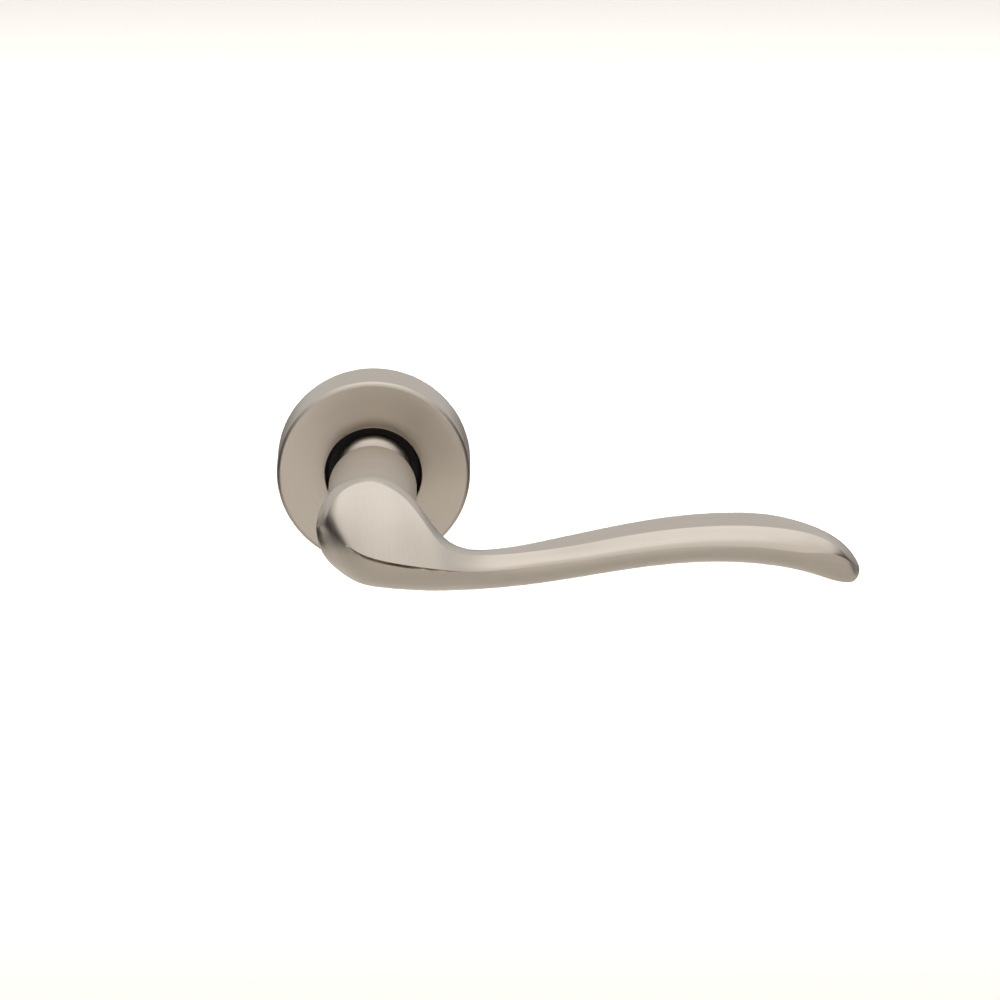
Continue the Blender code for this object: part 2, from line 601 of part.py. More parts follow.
def build_through_bolts(shader):
    """A steel lug and a bolt each side. The lugs stop the plate from turning on the door."""
    for side, angle in (("right", 0), ("left", 180)):
        x, z = polar(FIXING_CIRCLE_RADIUS, angle)
        under, top = LUG_COLLAR
        lug = [(LUG_BORE_RADIUS, LUG_BACK), (LUG_RADIUS, LUG_BACK), (LUG_RADIUS, under)]
        lug += [(LUG_COLLAR_RADIUS, under), (LUG_COLLAR_RADIUS, top), (LUG_BORE_RADIUS, top)]
        add_object(f"support_lug_{side}", turned(lug, SMALL_SIDES), shader, point(x, 0, z))
        under, top = BOLT_HEAD
        bolt = [(0, BOLT_BACK), (BOLT_RADIUS - 0.5, BOLT_BACK), (BOLT_RADIUS, BOLT_BACK + 0.5)]
        bolt += [(BOLT_RADIUS, under), (BOLT_HEAD_RADIUS, under), (BOLT_HEAD_RADIUS, top - 0.4)]
        bolt += [(BOLT_HEAD_RADIUS - 0.4, top), (0, top)]
        head = add_object(f"fixing_bolt_{side}", turned(bolt, SMALL_SIDES), shader, point(x, 0, z))
        cut(head, f"bolt_socket_{side}", prism(hexagon(BOLT_SOCKET), top - 1.7, top + 1), point(x, 0, z))


def build_wood_screws(shader):
    for number in range(4):
        x, z = polar(FIXING_CIRCLE_RADIUS, 45 + 90 * number)
        under, top = SCREW_HEAD
        screw = [(0, SCREW_BACK), (0.4, SCREW_BACK + 0.3), (SCREW_RADIUS, SCREW_BACK + 4)]
        screw += [(SCREW_RADIUS, under), (SCREW_HEAD_RADIUS, under), (SCREW_HEAD_RADIUS, under + 0.6)]
        screw += [(SCREW_HEAD_RADIUS - 0.6, top - 0.6), (SCREW_HEAD_RADIUS - 1.9, top), (0, top)]
        head = add_object(f"wood_screw_{number + 1}", turned(screw, SMALL_SIDES), shader, point(x, 0, z))
        for part, angle in (("a", 0), ("b", 90)):
            slot = box((-2.0, 2.0), (top - 1.4, top + 1), (-0.45, 0.45))
            turn = Matrix.Rotation(radians(angle), 3, "Y")
            bmesh.ops.rotate(slot, cent=(0, 0, 0), matrix=turn, verts=slot.verts)
            cut(head, f"cross_slot_{number + 1}{part}", slot, point(x, 0, z))


def joint_empty(name):
    empty = bpy.data.objects.new(name, None)
    bpy.context.scene.collection.objects.link(empty)
    return empty


def main():
    for thing in list(bpy.data.objects):
        bpy.data.objects.remove(thing)
    nickel = material("satin_nickel", (0.60, 0.55, 0.48), 0.32, 1.0)
    nylon = material("black_nylon", (0.012, 0.011, 0.010), 0.55, 0.0)
    acetal = material("black_acetal", (0.02, 0.018, 0.016), 0.4, 0.0)
    plated = material("zinc_plated_steel", (0.55, 0.56, 0.57), 0.35, 1.0)
    spring_steel = material("spring_steel", (0.28, 0.27, 0.26), 0.3, 1.0)
    black_oxide = material("black_oxide_steel", (0.05, 0.05, 0.055), 0.45, 1.0)
    turning = joint_empty("lever_turn_axis")
    sliding = joint_empty("cover_slide_axis")
    build_lever(nickel, turning)
    build_rose_cover(nickel, sliding)
    build_mounting_plate(nylon)
    build_bearing(acetal)
    build_drive_plate(plated, turning)
    build_return_spring(spring_steel)
    build_wave_washer(spring_steel, turning)
    build_retaining_ring(black_oxide, turning)
    build_snap_ring(spring_steel)
    build_spindle(plated, turning)
    build_grub_screw(black_oxide, turning)
    build_through_bolts(plated)
    build_wood_screws(plated)


main()
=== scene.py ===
from math import asin, atan2, cos, hypot, pi, radians, sin

import bmesh
import bpy
import numpy as np
from mathutils import Matrix, Vector


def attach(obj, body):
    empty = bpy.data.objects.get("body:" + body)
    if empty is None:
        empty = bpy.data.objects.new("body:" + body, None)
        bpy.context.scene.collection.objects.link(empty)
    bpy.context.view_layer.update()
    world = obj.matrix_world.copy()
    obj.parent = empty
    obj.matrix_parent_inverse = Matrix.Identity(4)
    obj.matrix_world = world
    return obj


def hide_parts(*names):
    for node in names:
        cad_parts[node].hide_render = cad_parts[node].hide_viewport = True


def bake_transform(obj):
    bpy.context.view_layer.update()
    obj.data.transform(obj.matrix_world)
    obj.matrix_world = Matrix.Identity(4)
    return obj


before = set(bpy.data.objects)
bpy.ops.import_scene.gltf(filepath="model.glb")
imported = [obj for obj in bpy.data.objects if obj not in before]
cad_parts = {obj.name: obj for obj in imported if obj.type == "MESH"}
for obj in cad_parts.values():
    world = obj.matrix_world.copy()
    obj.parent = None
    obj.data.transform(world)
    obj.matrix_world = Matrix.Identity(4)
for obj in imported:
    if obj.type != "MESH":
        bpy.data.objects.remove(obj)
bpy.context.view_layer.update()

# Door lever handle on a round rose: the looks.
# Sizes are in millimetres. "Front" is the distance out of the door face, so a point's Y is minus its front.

MM = 0.001

# Camera: in front of the handle, looking down on it
CAMERA_ELEVATION = 18.5  # degrees
CAMERA_DISTANCE = 1.9
CAMERA_AIM = (0.0327, -0.01044)  # to the right of the turning axis and above it, across the view
SENSOR_WIDTH = 36.0
VIEW_WIDTH = 1000 / 3850  # what the picture spans at the door, in metres

# Studio: places and sizes in metres, power in watts
FLOOR_LEVEL, FLOOR_SIZE, FLOOR_COLOUR = -0.36, 14, (0.56, 0.54, 0.505)
CARD_SIZE, CARD_PLACE = (0.42, 1.3), (0.6, -0.42, -0.15)
BACK_CARD_SIZE, BACK_CARD_PLACE = (1.6, 0.3), (0, 0.45, -0.18)
SOFTBOX_POWER, SOFTBOX_COLOUR = 1.85, (0.95, 0.99, 1.0)
BACKDROP_Y, BACKDROP_POWER = 1.15, 15.5
FRONT_FLOOR_Y, FRONT_FLOOR_POWER = -0.92, 4.1
FLOOR_LIGHT_SPREAD = 60  # degrees
# Light from all round: its level in front, behind and added overhead, and the share lost at each side
FRONT_LEVEL, BACK_LEVEL, TOP_LEVEL, SIDE_LOSS = 0.86, 0.67, 0.06, 0.88
SIDE_ACROSS, SIDE_FORWARD = 0.966, 0.26  # the dark sides' direction, turned a little to the front

# Lever: the cast arm's driving lines, as (x, front, z)
BUTT_X, BUTT_RADIUS = -13.8, 12.0
TIP_X, TIP_RADIUS = 123.8, 8.0
BUTT = (BUTT_X, 52.5, -0.8)
TIP = (TIP_X, 52.6, -12.0)
CROWN = [
    BUTT, (-12.2, 49.4, 4.4), (-8.0, 47.3, 9.15), (-3.0, 49.0, 11.5), (1.5, 49.4, 11.95),
    (6.5, 49.5, 10.1), (11.0, 50.6, 6.3), (15.0, 51.0, 0.7), (19.0, 51.0, -4.2), (24.0, 51.0, -6.8),
    (30.0, 50.9, -7.1), (45.0, 50.4, -4.7), (60.0, 49.9, -1.5), (75.0, 48.9, 0.9), (91.0, 48.0, 1.8),
    (102.0, 48.0, 1.1), (110.0, 48.1, -1.0), (117.0, 48.7, -4.1), (121.5, 50.0, -7.7),
    (123.2, 51.3, -10.1), TIP,
]
UPPER_CREASE = [
    BUTT, (-12.7, 53.9, 0.7), (-11.3, 55.3, 3.4), (-8.2, 54.0, 8.2), (-4.5, 52.5, 10.5),
    (0.5, 52.3, 11.35), (5.0, 53.8, 10.1), (9.5, 57.0, 7.65), (14.5, 61.0, 2.15), (19.0, 62.6, -2.7),
    (24.0, 61.3, -4.9), (30.0, 58.9, -5.9), (41.0, 57.5, -5.45), (52.0, 57.2, -3.9), (61.0, 57.2, -2.1),
    (72.0, 57.2, -0.2), (83.0, 57.2, 1.0), (92.0, 57.1, 1.3), (101.0, 56.9, 0.8), (108.5, 57.2, -0.2),
    (113.5, 58.2, -1.4), (118.2, 58.8, -4.1), (121.0, 57.6, -7.3), (122.6, 55.2, -9.7), TIP,
]
LOWER_CREASE = [
    BUTT, (-12.7, 54.0, -0.4), (-11.3, 56.3, -0.2), (-7.8, 60.0, -1.4), (-3.0, 63.3, -3.8), (2.0, 65.2, -5.1),
    (9.5, 66.1, -6.3), (17.0, 66.1, -7.3), (24.5, 64.2, -8.6), (34.0, 61.6, -9.0), (52.0, 60.9, -7.1),
    (72.0, 61.0, -4.3), (88.0, 61.0, -3.2), (101.0, 60.6, -3.7), (111.0, 60.2, -5.0), (118.2, 59.8, -5.8),
    (121.0, 58.0, -8.0), (122.6, 55.4, -10.4), TIP,
]
KEEL = [
    BUTT, (-12.6, 53.2, -6.6), (-8.2, 54.0, -11.7), (-3.0, 56.2, -14.3), (3.0, 57.8, -15.1),
    (14.0, 58.0, -15.8), (25.0, 57.0, -15.9), (45.0, 56.2, -14.1), (64.0, 55.9, -11.0), (86.0, 55.4, -9.0),
    (102.0, 54.8, -10.2), (113.0, 54.3, -12.9), (119.5, 53.7, -15.0), (122.8, 53.2, -14.6), TIP,
]
HEEL = [
    BUTT, (-12.4, 49.8, -5.6), (-8.2, 47.5, -10.2), (-3.0, 47.2, -12.6), (3.0, 47.6, -13.2),
    (14.0, 49.6, -14.6), (25.0, 51.0, -15.2), (45.0, 50.4, -12.9), (64.0, 49.6, -9.8), (86.0, 48.8, -7.6),
    (102.0, 48.8, -8.8), (113.0, 49.5, -11.7), (119.5, 50.6, -13.6), (122.8, 51.6, -13.4), TIP,
]
BACK = [
    BUTT, (-12.2, 48.2, -0.9), (-8.0, 45.0, -1.5), (-3.0, 44.3, -2.0), (3.0, 44.5, -2.6), (12.0, 46.0, -5.6),
    (19.0, 47.6, -10.2), (25.0, 48.2, -11.6), (45.0, 47.6, -9.0), (64.0, 46.6, -5.8), (86.0, 45.3, -3.3),
    (102.0, 45.4, -3.9), (114.0, 46.8, -7.8), (120.5, 49.0, -10.9), (123.1, 51.0, -12.2), TIP,
]
# How round each crease is, as (x, softness): 0 is a crisp edge, 1 is a smooth surface
UPPER_SOFTNESS = [(-11.5, 1.0), (-8.5, 0.5), (-6.5, 0.0)]
LOWER_SOFTNESS = [
    (-12.0, 1.0), (-9.0, 0.9), (-6.0, 0.2), (-4.5, 0.0), (20.0, 0.0), (45.0, 0.8), (83.0, 0.8), (110.0, 0.3),
]
FACE_CROWN = 0.03  # bulge of the front face, as a share of its height
LIP_FLATNESS = 0.75  # of the band between the crown and the upper crease
CREASE_ROUNDING = 3  # passes
ARM_RING_SPACING = 0.8
SPAN_STEPS = (24, 26, 40, 14, 14, 16)  # points from each line to the next, from the crown round
# A slit under the leaf, along the lower crease, and a shallow one along the head's rim, as (x, depth)
LEAF_GROOVE = [(-6.5, 0.0), (-2.5, 1.5), (9.0, 1.5), (26.0, 0.0)]
RIM_GROOVE = [(-12.0, 0.0), (-9.0, 0.4), (12.0, 0.4), (30.0, 0.0)]
GROOVE_WIDTH, GROOVE_WALL = 0.85, 0.3  # the walls take up a share of the width


# ---------------------------------------------------------------- meshes


def point(x, front, z):
    return Vector((x * MM, -front * MM, z * MM))


def polar(radius, angle):
    """The X and Z of a place on a circle about the turning axis, the angle in degrees from +X towards +Z."""
    return radius * cos(radians(angle)), radius * sin(radians(angle))


class Skin:
    """A surface woven from rings of points, with a UV map whose U runs along the grain of the metal."""

    def __init__(self):
        self.mesh = bmesh.new()
        self.grain = self.mesh.loops.layers.uv.new("grain")

    def ring(self, places):
        return [self.mesh.verts.new(place) for place in places]

    def face(self, verts, coords):
        made = self.mesh.faces.new(verts)
        for loop, (u, v) in zip(made.loops, coords):
            loop[self.grain].uv = (u * MM, v * MM)

    def weave(self, ring, next_ring, round_step, v, next_v, turned_grain=True):
        """Faces between two closed rings, where either may be a single point."""
        count = max(len(ring), len(next_ring))
        for i in range(count):
            j = (i + 1) % count
            corners = [(ring, i, i, v), (ring, j, i + 1, v)]
            corners += [(next_ring, j, i + 1, next_v), (next_ring, i, i, next_v)]
            if len(ring) == 1:
                corners.pop(1)
            if len(next_ring) == 1:
                corners.pop(-1)
            verts = [source[k % len(source)] for source, k, column, along in corners]
            coords = [(column * round_step, along) for source, k, column, along in corners]
            if not turned_grain:
                coords = [(along, across) for across, along in coords]
            self.face(verts, coords)


def finish_object(name, mesh, shader=None, sharp_angle=35, location=(0, 0, 0)):
    """Outward faces and smooth shading with sharp edges on a new object."""
    bmesh.ops.recalc_face_normals(mesh, faces=mesh.faces)
    data = bpy.data.meshes.new(name)
    mesh.to_mesh(data)
    mesh.free()
    data.shade_smooth()
    data.set_sharp_from_angle(angle=radians(sharp_angle))
    if shader:
        data.materials.append(shader)
    thing = bpy.data.objects.new(name, data)
    bpy.context.scene.collection.objects.link(thing)
    thing.location = location
    return thing


def eased(profile, radius=0.15, steps=3, closed=True):
    """The profile with each corner rounded, or rounded as far as its shorter side allows."""
    made = []
    for i, here in enumerate(profile):
        if not closed and i in (0, len(profile) - 1):
            made.append(here)
            continue
        before, after = profile[i - 1], profile[(i + 1) % len(profile)]
        here, before, after = Vector(here), Vector(before), Vector(after)
        toward, onward = before - here, after - here
        cut_back = min(radius, toward.length * 0.4, onward.length * 0.4)
        bend = toward.angle(onward) if min(toward.length, onward.length) > 1e-6 else pi
        if bend > radians(165):
            made.append(tuple(here))
            continue
        start = here + toward.normalized() * cut_back
        end = here + onward.normalized() * cut_back
        for k in range(steps + 1):
            t = k / steps
            made.append(tuple(start * (1 - t) ** 2 + here * 2 * t * (1 - t) + end * t * t))
    return made


def turned(profile, sides=96, ripple=None):
    """A body turned about the Y axis from (radius, front) points, solid if the first is on the axis.

    A ripple gives the radius anew for each radius, front and angle, which makes threads and knurls.
    """
    skin = Skin()
    rings, along = [], []
    travelled = 0.0
    for i, (radius, front) in enumerate(profile):
        if i:
            travelled += hypot(radius - profile[i - 1][0], front - profile[i - 1][1])
        along.append(travelled)
        if radius < 1e-6:
            rings.append(skin.ring([point(0, front, 0)]))
            continue
        angles = [360 * k / sides for k in range(sides)]
        places = [polar(ripple(radius, front, a) if ripple else radius, a) for a in angles]
        rings.append(skin.ring([point(x, front, z) for x, z in places]))
    ring_shaped = profile[0][0] > 1e-6
    if ring_shaped:
        rings.append(rings[0])
        closing = hypot(profile[0][0] - profile[-1][0], profile[0][1] - profile[-1][1])
        along.append(travelled + closing)
    step = 2 * pi * max(radius for radius, front in profile) / sides
    for k in range(len(rings) - 1):
        skin.weave(rings[k], rings[k + 1], step, along[k], along[k + 1])
    return skin.mesh


def plain_ring(inner, outer, back, front):
    return [(inner, back), (outer, back), (outer, front), (inner, front)]


def prism(outline, back, front):
    """An outline of (x, z) points, extruded from back to front."""
    skin = Skin()
    rings = [skin.ring([point(x, depth, z) for x, z in outline]) for depth in (back, front)]
    skin.weave(*rings, 0.5, back, front)
    skin.face(rings[0], outline)
    skin.face(list(reversed(rings[1])), list(reversed(outline)))
    return skin.mesh


def sector(inner, outer, start, end, steps=24):
    """The outline of a piece of a ring between two angles in degrees."""
    angles = [start + (end - start) * i / steps for i in range(steps + 1)]
    return [polar(outer, a) for a in angles] + [polar(inner, a) for a in reversed(angles)]


def box(x_range, front_range, z_range):
    (x0, x1), (z0, z1) = x_range, z_range
    return prism([(x0, z0), (x1, z0), (x1, z1), (x0, z1)], *front_range)


def hexagon(across_flats):
    return [polar(across_flats / (2 * cos(radians(30))), 60 * k) for k in range(6)]


def arc(centre_radius, centre_front, radius, start, end, steps=8):
    """Points of a fillet in a turned profile, the angles in degrees from outward towards the front."""
    angles = [radians(start + (end - start) * i / steps) for i in range(steps + 1)]
    return [(centre_radius + radius * cos(a), centre_front + radius * sin(a)) for a in angles]


def plug(radius, back, front):
    return [(0, back), (radius, back), (radius, front), (0, front)]


def thread(depth, pitch, back, front):
    """A ripple that makes a screw thread between two fronts. It runs out at both ends."""

    def at(radius, place, angle):
        if not back < place < front:
            return radius
        tooth = abs(2 * ((place / pitch + angle / 360) % 1) - 1)
        sunk = 1 - min(1.0, max(0.0, (tooth - 0.1) / 0.75))
        run_out = min(1.0, (place - back) / pitch, (front - place) / pitch)
        return radius - min(depth, 0.4 * radius) * sunk * run_out

    return at


def knurl(depth, teeth, back, front):
    """A ripple that makes straight knurling between two fronts."""

    def at(radius, place, angle):
        inside = min(1.0, max(0.0, min(place - back, front - place) / 0.2))
        return radius - depth * inside * (0.5 - 0.5 * cos(radians(angle * teeth)))

    return at


def close_rings(radius, back, front, spacing):
    """Points of a turned profile along a cylinder, close enough together for a thread."""
    count = round((front - back) / spacing)
    return [(radius, back + (front - back) * i / count) for i in range(count + 1)]


def gathered(shapes):
    """One mesh out of (mesh, location) shapes that don't touch each other."""
    whole = bmesh.new()
    for mesh, location in shapes:
        bmesh.ops.translate(mesh, vec=location, verts=mesh.verts)
        data = bpy.data.meshes.new("shape")
        mesh.to_mesh(data)
        mesh.free()
        whole.from_mesh(data)
        bpy.data.meshes.remove(data)
    return whole


def wire(path, wire_radius, sides=14):
    """A round wire along a path of points, its ends rounded."""
    skin = Skin()
    steps = [(path[min(i + 1, len(path) - 1)] - path[max(i - 1, 0)]).normalized() for i in range(len(path))]
    caps = [(sin(a), cos(a)) for a in (radians(15 * k) for k in range(6))]
    start_cap, end_cap = steps[0] * wire_radius * MM, steps[-1] * wire_radius * MM
    stations = [(path[0] - start_cap * cap, steps[0], size) for size, cap in caps[1:]]
    stations += [(place, step, 1.0) for place, step in zip(path, steps)]
    stations += [(path[-1] + end_cap * cap, steps[-1], size) for size, cap in caps[:0:-1]]
    rings, along = [skin.ring([path[0] - start_cap])], [0.0]
    for place, step, size in stations:
        across = Vector((0, 1, 0))
        across = (across - step * across.dot(step)).normalized()
        up = step.cross(across)
        spokes = [across * cos(a) + up * sin(a) for a in (2 * pi * k / sides for k in range(sides))]
        along.append(along[-1] + 0.3)
        rings.append(skin.ring([place + spoke * wire_radius * size * MM for spoke in spokes]))
    rings.append(skin.ring([path[-1] + end_cap]))
    along.append(along[-1] + 0.3)
    for k in range(len(rings) - 1):
        skin.weave(rings[k], rings[k + 1], 0.3, along[k], along[k + 1], turned_grain=False)
    return skin.mesh


def combine(target, mesh, operation, location=(0, 0, 0)):
    """Cut a shape out of the target, or join it on, and apply the result."""
    tool = finish_object("tool", mesh, location=location)
    modifier = target.modifiers.new("combine", "BOOLEAN")
    modifier.operation = operation
    modifier.object = tool
    modifier.solver = "EXACT"
    apply_modifiers(target)
    bpy.data.objects.remove(tool)


def apply_modifiers(thing):
    graph = bpy.context.evaluated_depsgraph_get()
    data = bpy.data.meshes.new_from_object(thing.evaluated_get(graph), depsgraph=graph)
    thing.modifiers.clear()
    old = thing.data
    thing.data = data
    bpy.data.meshes.remove(old)


def cut(target, mesh, location=(0, 0, 0)):
    combine(target, mesh, "DIFFERENCE", location)


def join(target, mesh, location=(0, 0, 0)):
    combine(target, mesh, "UNION", location)


def tilt(mesh, angle, axis):
    turn = Matrix.Rotation(radians(angle), 3, axis)
    bmesh.ops.rotate(mesh, cent=(0, 0, 0), matrix=turn, verts=mesh.verts)
    return mesh


def bevel_edges(thing, width, angle):
    """Small rounded edges, applied."""
    modifier = thing.modifiers.new("edge_round", "BEVEL")
    modifier.width = width * MM
    modifier.segments = 2
    modifier.limit_method = "ANGLE"
    modifier.angle_limit = radians(angle)
    modifier.use_clamp_overlap = True
    apply_modifiers(thing)
    thing.data.shade_smooth()
    thing.data.set_sharp_from_angle(angle=radians(35))


def place(thing, body, slot, *nodes):
    """The piece rides on a body and stands for the CAD nodes named; its slot is not used."""
    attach(thing, body)
    if nodes:
        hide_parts(*nodes)
    return thing


# ---------------------------------------------------------------- materials


def add_node(tree, kind, inputs=(), **settings):
    """A shader node with its settings, and its inputs set to values or linked to other nodes' outputs."""
    made = tree.nodes.new(kind)
    for name, value in settings.items():
        setattr(made, name, value)
    for socket, value in dict(inputs).items():
        if isinstance(value, bpy.types.NodeSocket):
            tree.links.new(value, made.inputs[socket])
        else:
            made.inputs[socket].default_value = value
    return made


def new_material(name, colour, roughness, metallic=0.0, specular=0.5, anisotropy=0.0):
    material = bpy.data.materials.new(name)
    material.use_nodes = True
    principled = material.node_tree.nodes["Principled BSDF"]
    principled.inputs["Base Color"].default_value = (*colour, 1)
    principled.inputs["Roughness"].default_value = roughness
    principled.inputs["Metallic"].default_value = metallic
    principled.inputs["Specular IOR Level"].default_value = specular
    principled.inputs["Anisotropic"].default_value = anisotropy
    return material, material.node_tree, principled


def noise(tree, coords, cells, detail=3.0, roughness=0.5):
    """Noise with so many cells to the metre along each axis of its coordinates."""
    mapping = add_node(tree, "ShaderNodeMapping", {"Vector": coords, "Scale": cells})
    made = add_node(tree, "ShaderNodeTexNoise", {"Vector": mapping.outputs["Vector"], "Scale": 1.0})
    made.inputs["Detail"].default_value = detail
    made.inputs["Roughness"].default_value = roughness
    return made.outputs["Fac"]


def remap(tree, value, low, high, start=0.3, end=0.7):
    made = add_node(tree, "ShaderNodeMapRange", {"Value": value, "From Min": start, "From Max": end})
    made.inputs["To Min"].default_value = low
    made.inputs["To Max"].default_value = high
    return made.outputs["Result"]


def math_node(tree, operation, first, second=0.0):
    return add_node(tree, "ShaderNodeMath", {0: first, 1: second}, operation=operation).outputs[0]


def tint(tree, principled, factor, dark, light):
    """The base colour wanders between two close tones."""
    made = add_node(tree, "ShaderNodeMix", {0: factor}, data_type="RGBA")
    made.inputs["A"].default_value = (*dark, 1)
    made.inputs["B"].default_value = (*light, 1)
    tree.links.new(made.outputs["Result"], principled.inputs["Base Color"])


def emboss(tree, principled, height, depth):
    """A bump of so many millimetres for a height from 0 to 1."""
    made = add_node(tree, "ShaderNodeBump", {"Height": height, "Distance": depth * MM, "Strength": 1.0})
    tree.links.new(made.outputs["Normal"], principled.inputs["Normal"])


def shade(colour, factor):
    return tuple(c * factor for c in colour)


NICKEL = (0.665, 0.595, 0.515)
# Where the lever's finish changes, as (start, end) in metres along the X or Y of the part
HEAD_FADE, LEAF_FADE = (0.012, 0.034), (-0.0565, -0.0525)
NECK_FRONT_FADE, NECK_BACK_FADE, NECK_EXTRA_ROUGHNESS = (-0.0495, -0.0465), (-0.027, -0.0225), 0.13


def brushed_nickel():
    """Satin nickel with fine lines along its grain, cross scratches on the leaf and a duller neck."""
    material, tree, principled = new_material("brushed_nickel", NICKEL, 0.3, metallic=1.0)
    uv = add_node(tree, "ShaderNodeUVMap", uv_map="grain").outputs["UV"]
    place_in_object = add_node(tree, "ShaderNodeTexCoord").outputs["Object"]
    hairline = math_node(tree, "MULTIPLY", noise(tree, uv, (90, 5200, 1), detail=2.0), 0.55)
    brush = math_node(tree, "MULTIPLY", noise(tree, uv, (28, 1300, 1), detail=3.0), 0.45)
    mottle = noise(tree, place_in_object, (140, 140, 140), detail=2.0)
    lines = math_node(tree, "ADD", hairline, brush)
    slanted = add_node(tree, "ShaderNodeVectorRotate", {"Vector": place_in_object, "Angle": radians(6)},
                       rotation_type="Y_AXIS").outputs["Vector"]
    scratch = noise(tree, slanted, (3000, 240, 300), detail=2.0, roughness=0.5)
    across, depth, height = add_node(tree, "ShaderNodeSeparateXYZ", {0: place_in_object}).outputs
    on_leaf = remap(tree, across, 1.0, 0.0, *HEAD_FADE)
    on_leaf = math_node(tree, "MULTIPLY", on_leaf, remap(tree, depth, 1.0, 0.0, *LEAF_FADE))
    scratch = remap(tree, scratch, 0.42, 0.58)
    lines = add_node(tree, "ShaderNodeMix", {0: on_leaf, 2: lines, 3: scratch}).outputs[0]
    rough = math_node(tree, "ADD", remap(tree, lines, 0.27, 0.37), remap(tree, mottle, -0.02, 0.03))
    on_neck = remap(tree, depth, 0.0, NECK_EXTRA_ROUGHNESS, *NECK_FRONT_FADE)
    on_neck = math_node(tree, "MULTIPLY", on_neck, remap(tree, depth, 1.0, 0.0, *NECK_BACK_FADE))
    rough = math_node(tree, "ADD", rough, on_neck)
    tree.links.new(rough, principled.inputs["Roughness"])
    tint(tree, principled, remap(tree, lines, 0.0, 1.0), shade(NICKEL, 0.93), shade(NICKEL, 1.04))
    emboss(tree, principled, lines, 0.006)
    return material


def turned_nickel():
    """The rose: satin nickel with fine turning lines round the axis."""
    material, tree, principled = new_material("turned_nickel", NICKEL, 0.3, metallic=1.0, anisotropy=0.35)
    uv = add_node(tree, "ShaderNodeUVMap", uv_map="grain").outputs["UV"]
    place_in_object = add_node(tree, "ShaderNodeTexCoord").outputs["Object"]
    lines = noise(tree, uv, (26, 4600, 1), detail=3.0)
    mottle = noise(tree, place_in_object, (110, 110, 110), detail=3.0)
    rough = math_node(tree, "ADD", remap(tree, lines, 0.30, 0.38), remap(tree, mottle, -0.02, 0.03))
    tree.links.new(rough, principled.inputs["Roughness"])
    round_axis = add_node(tree, "ShaderNodeTangent", direction_type="RADIAL", axis="Y").outputs["Tangent"]
    tree.links.new(round_axis, principled.inputs["Tangent"])
    tint(tree, principled, remap(tree, lines, 0.0, 1.0), shade(NICKEL, 0.93), shade(NICKEL, 1.0))
    emboss(tree, principled, lines, 0.008)
    return material


def moulded(name, colour, roughness, grain_depth):
    """Moulded plastic: a fine spark-eroded grain and faint flow marks."""
    material, tree, principled = new_material(name, colour, roughness, specular=0.25)
    coords = add_node(tree, "ShaderNodeTexCoord").outputs["Object"]
    grain = noise(tree, coords, (5200, 5200, 5200), detail=2.0)
    flow = noise(tree, coords, (120, 120, 120), detail=3.0)
    grainy = remap(tree, grain, roughness - 0.05, roughness + 0.05)
    rough = math_node(tree, "ADD", grainy, remap(tree, flow, -0.04, 0.05))
    tree.links.new(rough, principled.inputs["Roughness"])
    tint(tree, principled, flow, shade(colour, 0.75), shade(colour, 1.35))
    emboss(tree, principled, grain, grain_depth)
    return material


def plated_steel(name, colour, roughness):
    """Plated or blued steel: a cloudy surface with a fine grit."""
    material, tree, principled = new_material(name, colour, roughness, metallic=1.0)
    coords = add_node(tree, "ShaderNodeTexCoord").outputs["Object"]
    cloud = noise(tree, coords, (420, 420, 420), detail=4.0, roughness=0.6)
    grit = noise(tree, coords, (3800, 3800, 3800), detail=2.0)
    cloudy = remap(tree, cloud, roughness - 0.07, roughness + 0.09)
    rough = math_node(tree, "ADD", cloudy, remap(tree, grit, -0.03, 0.03))
    tree.links.new(rough, principled.inputs["Roughness"])
    tint(tree, principled, remap(tree, cloud, 0.0, 1.0), shade(colour, 0.82), shade(colour, 1.06))
    emboss(tree, principled, grit, 0.004)
    return material


# ---------------------------------------------------------------- lever


def smooth_curve(knots, values, at):
    """A natural cubic spline through the values, read at the given places."""
    knots, values = np.array(knots), np.array(values)
    step = np.diff(knots)
    slope = np.diff(values, axis=0) / step[:, None]
    system = np.eye(len(knots))
    right = np.zeros_like(values)
    for i in range(1, len(knots) - 1):
        system[i, i - 1 : i + 2] = step[i - 1], 2 * (step[i - 1] + step[i]), step[i]
        right[i] = 6 * (slope[i] - slope[i - 1])
    bend = np.linalg.solve(system, right)
    i = np.clip(np.searchsorted(knots, at) - 1, 0, len(step) - 1)
    h, a, b = step[i][:, None], (knots[i + 1] - at)[:, None], (at - knots[i])[:, None]
    cubic = (bend[i] * a**3 + bend[i + 1] * b**3) / (6 * h)
    return cubic + (values[i] / h - bend[i] * h / 6) * a + (values[i + 1] / h - bend[i + 1] * h / 6) * b


def travel(x):
    """Distance along the arm: x itself in the middle, and arc length round its two rounded ends."""
    left, right = BUTT_X + BUTT_RADIUS, TIP_X - TIP_RADIUS
    if x < left:
        return left - BUTT_RADIUS * asin(min(1.0, (left - x) / BUTT_RADIUS))
    if x > right:
        return right + TIP_RADIUS * asin(min(1.0, (x - right) / TIP_RADIUS))
    return x


def station_x(distance):
    left, right = BUTT_X + BUTT_RADIUS, TIP_X - TIP_RADIUS
    if distance < left:
        return left - BUTT_RADIUS * sin((left - distance) / BUTT_RADIUS)
    if distance > right:
        return right + TIP_RADIUS * sin((distance - right) / TIP_RADIUS)
    return distance


def span_places(count, dense_start, dense_end):
    """Shares of a span from 0 up to 1, closer together at an end that has a crease."""
    t = np.arange(count) / count
    if dense_start and dense_end:
        return t * t * (3 - 2 * t)
    if dense_start:
        return t**2.2
    if dense_end:
        return 1 - (1 - t) ** 1.8
    return t


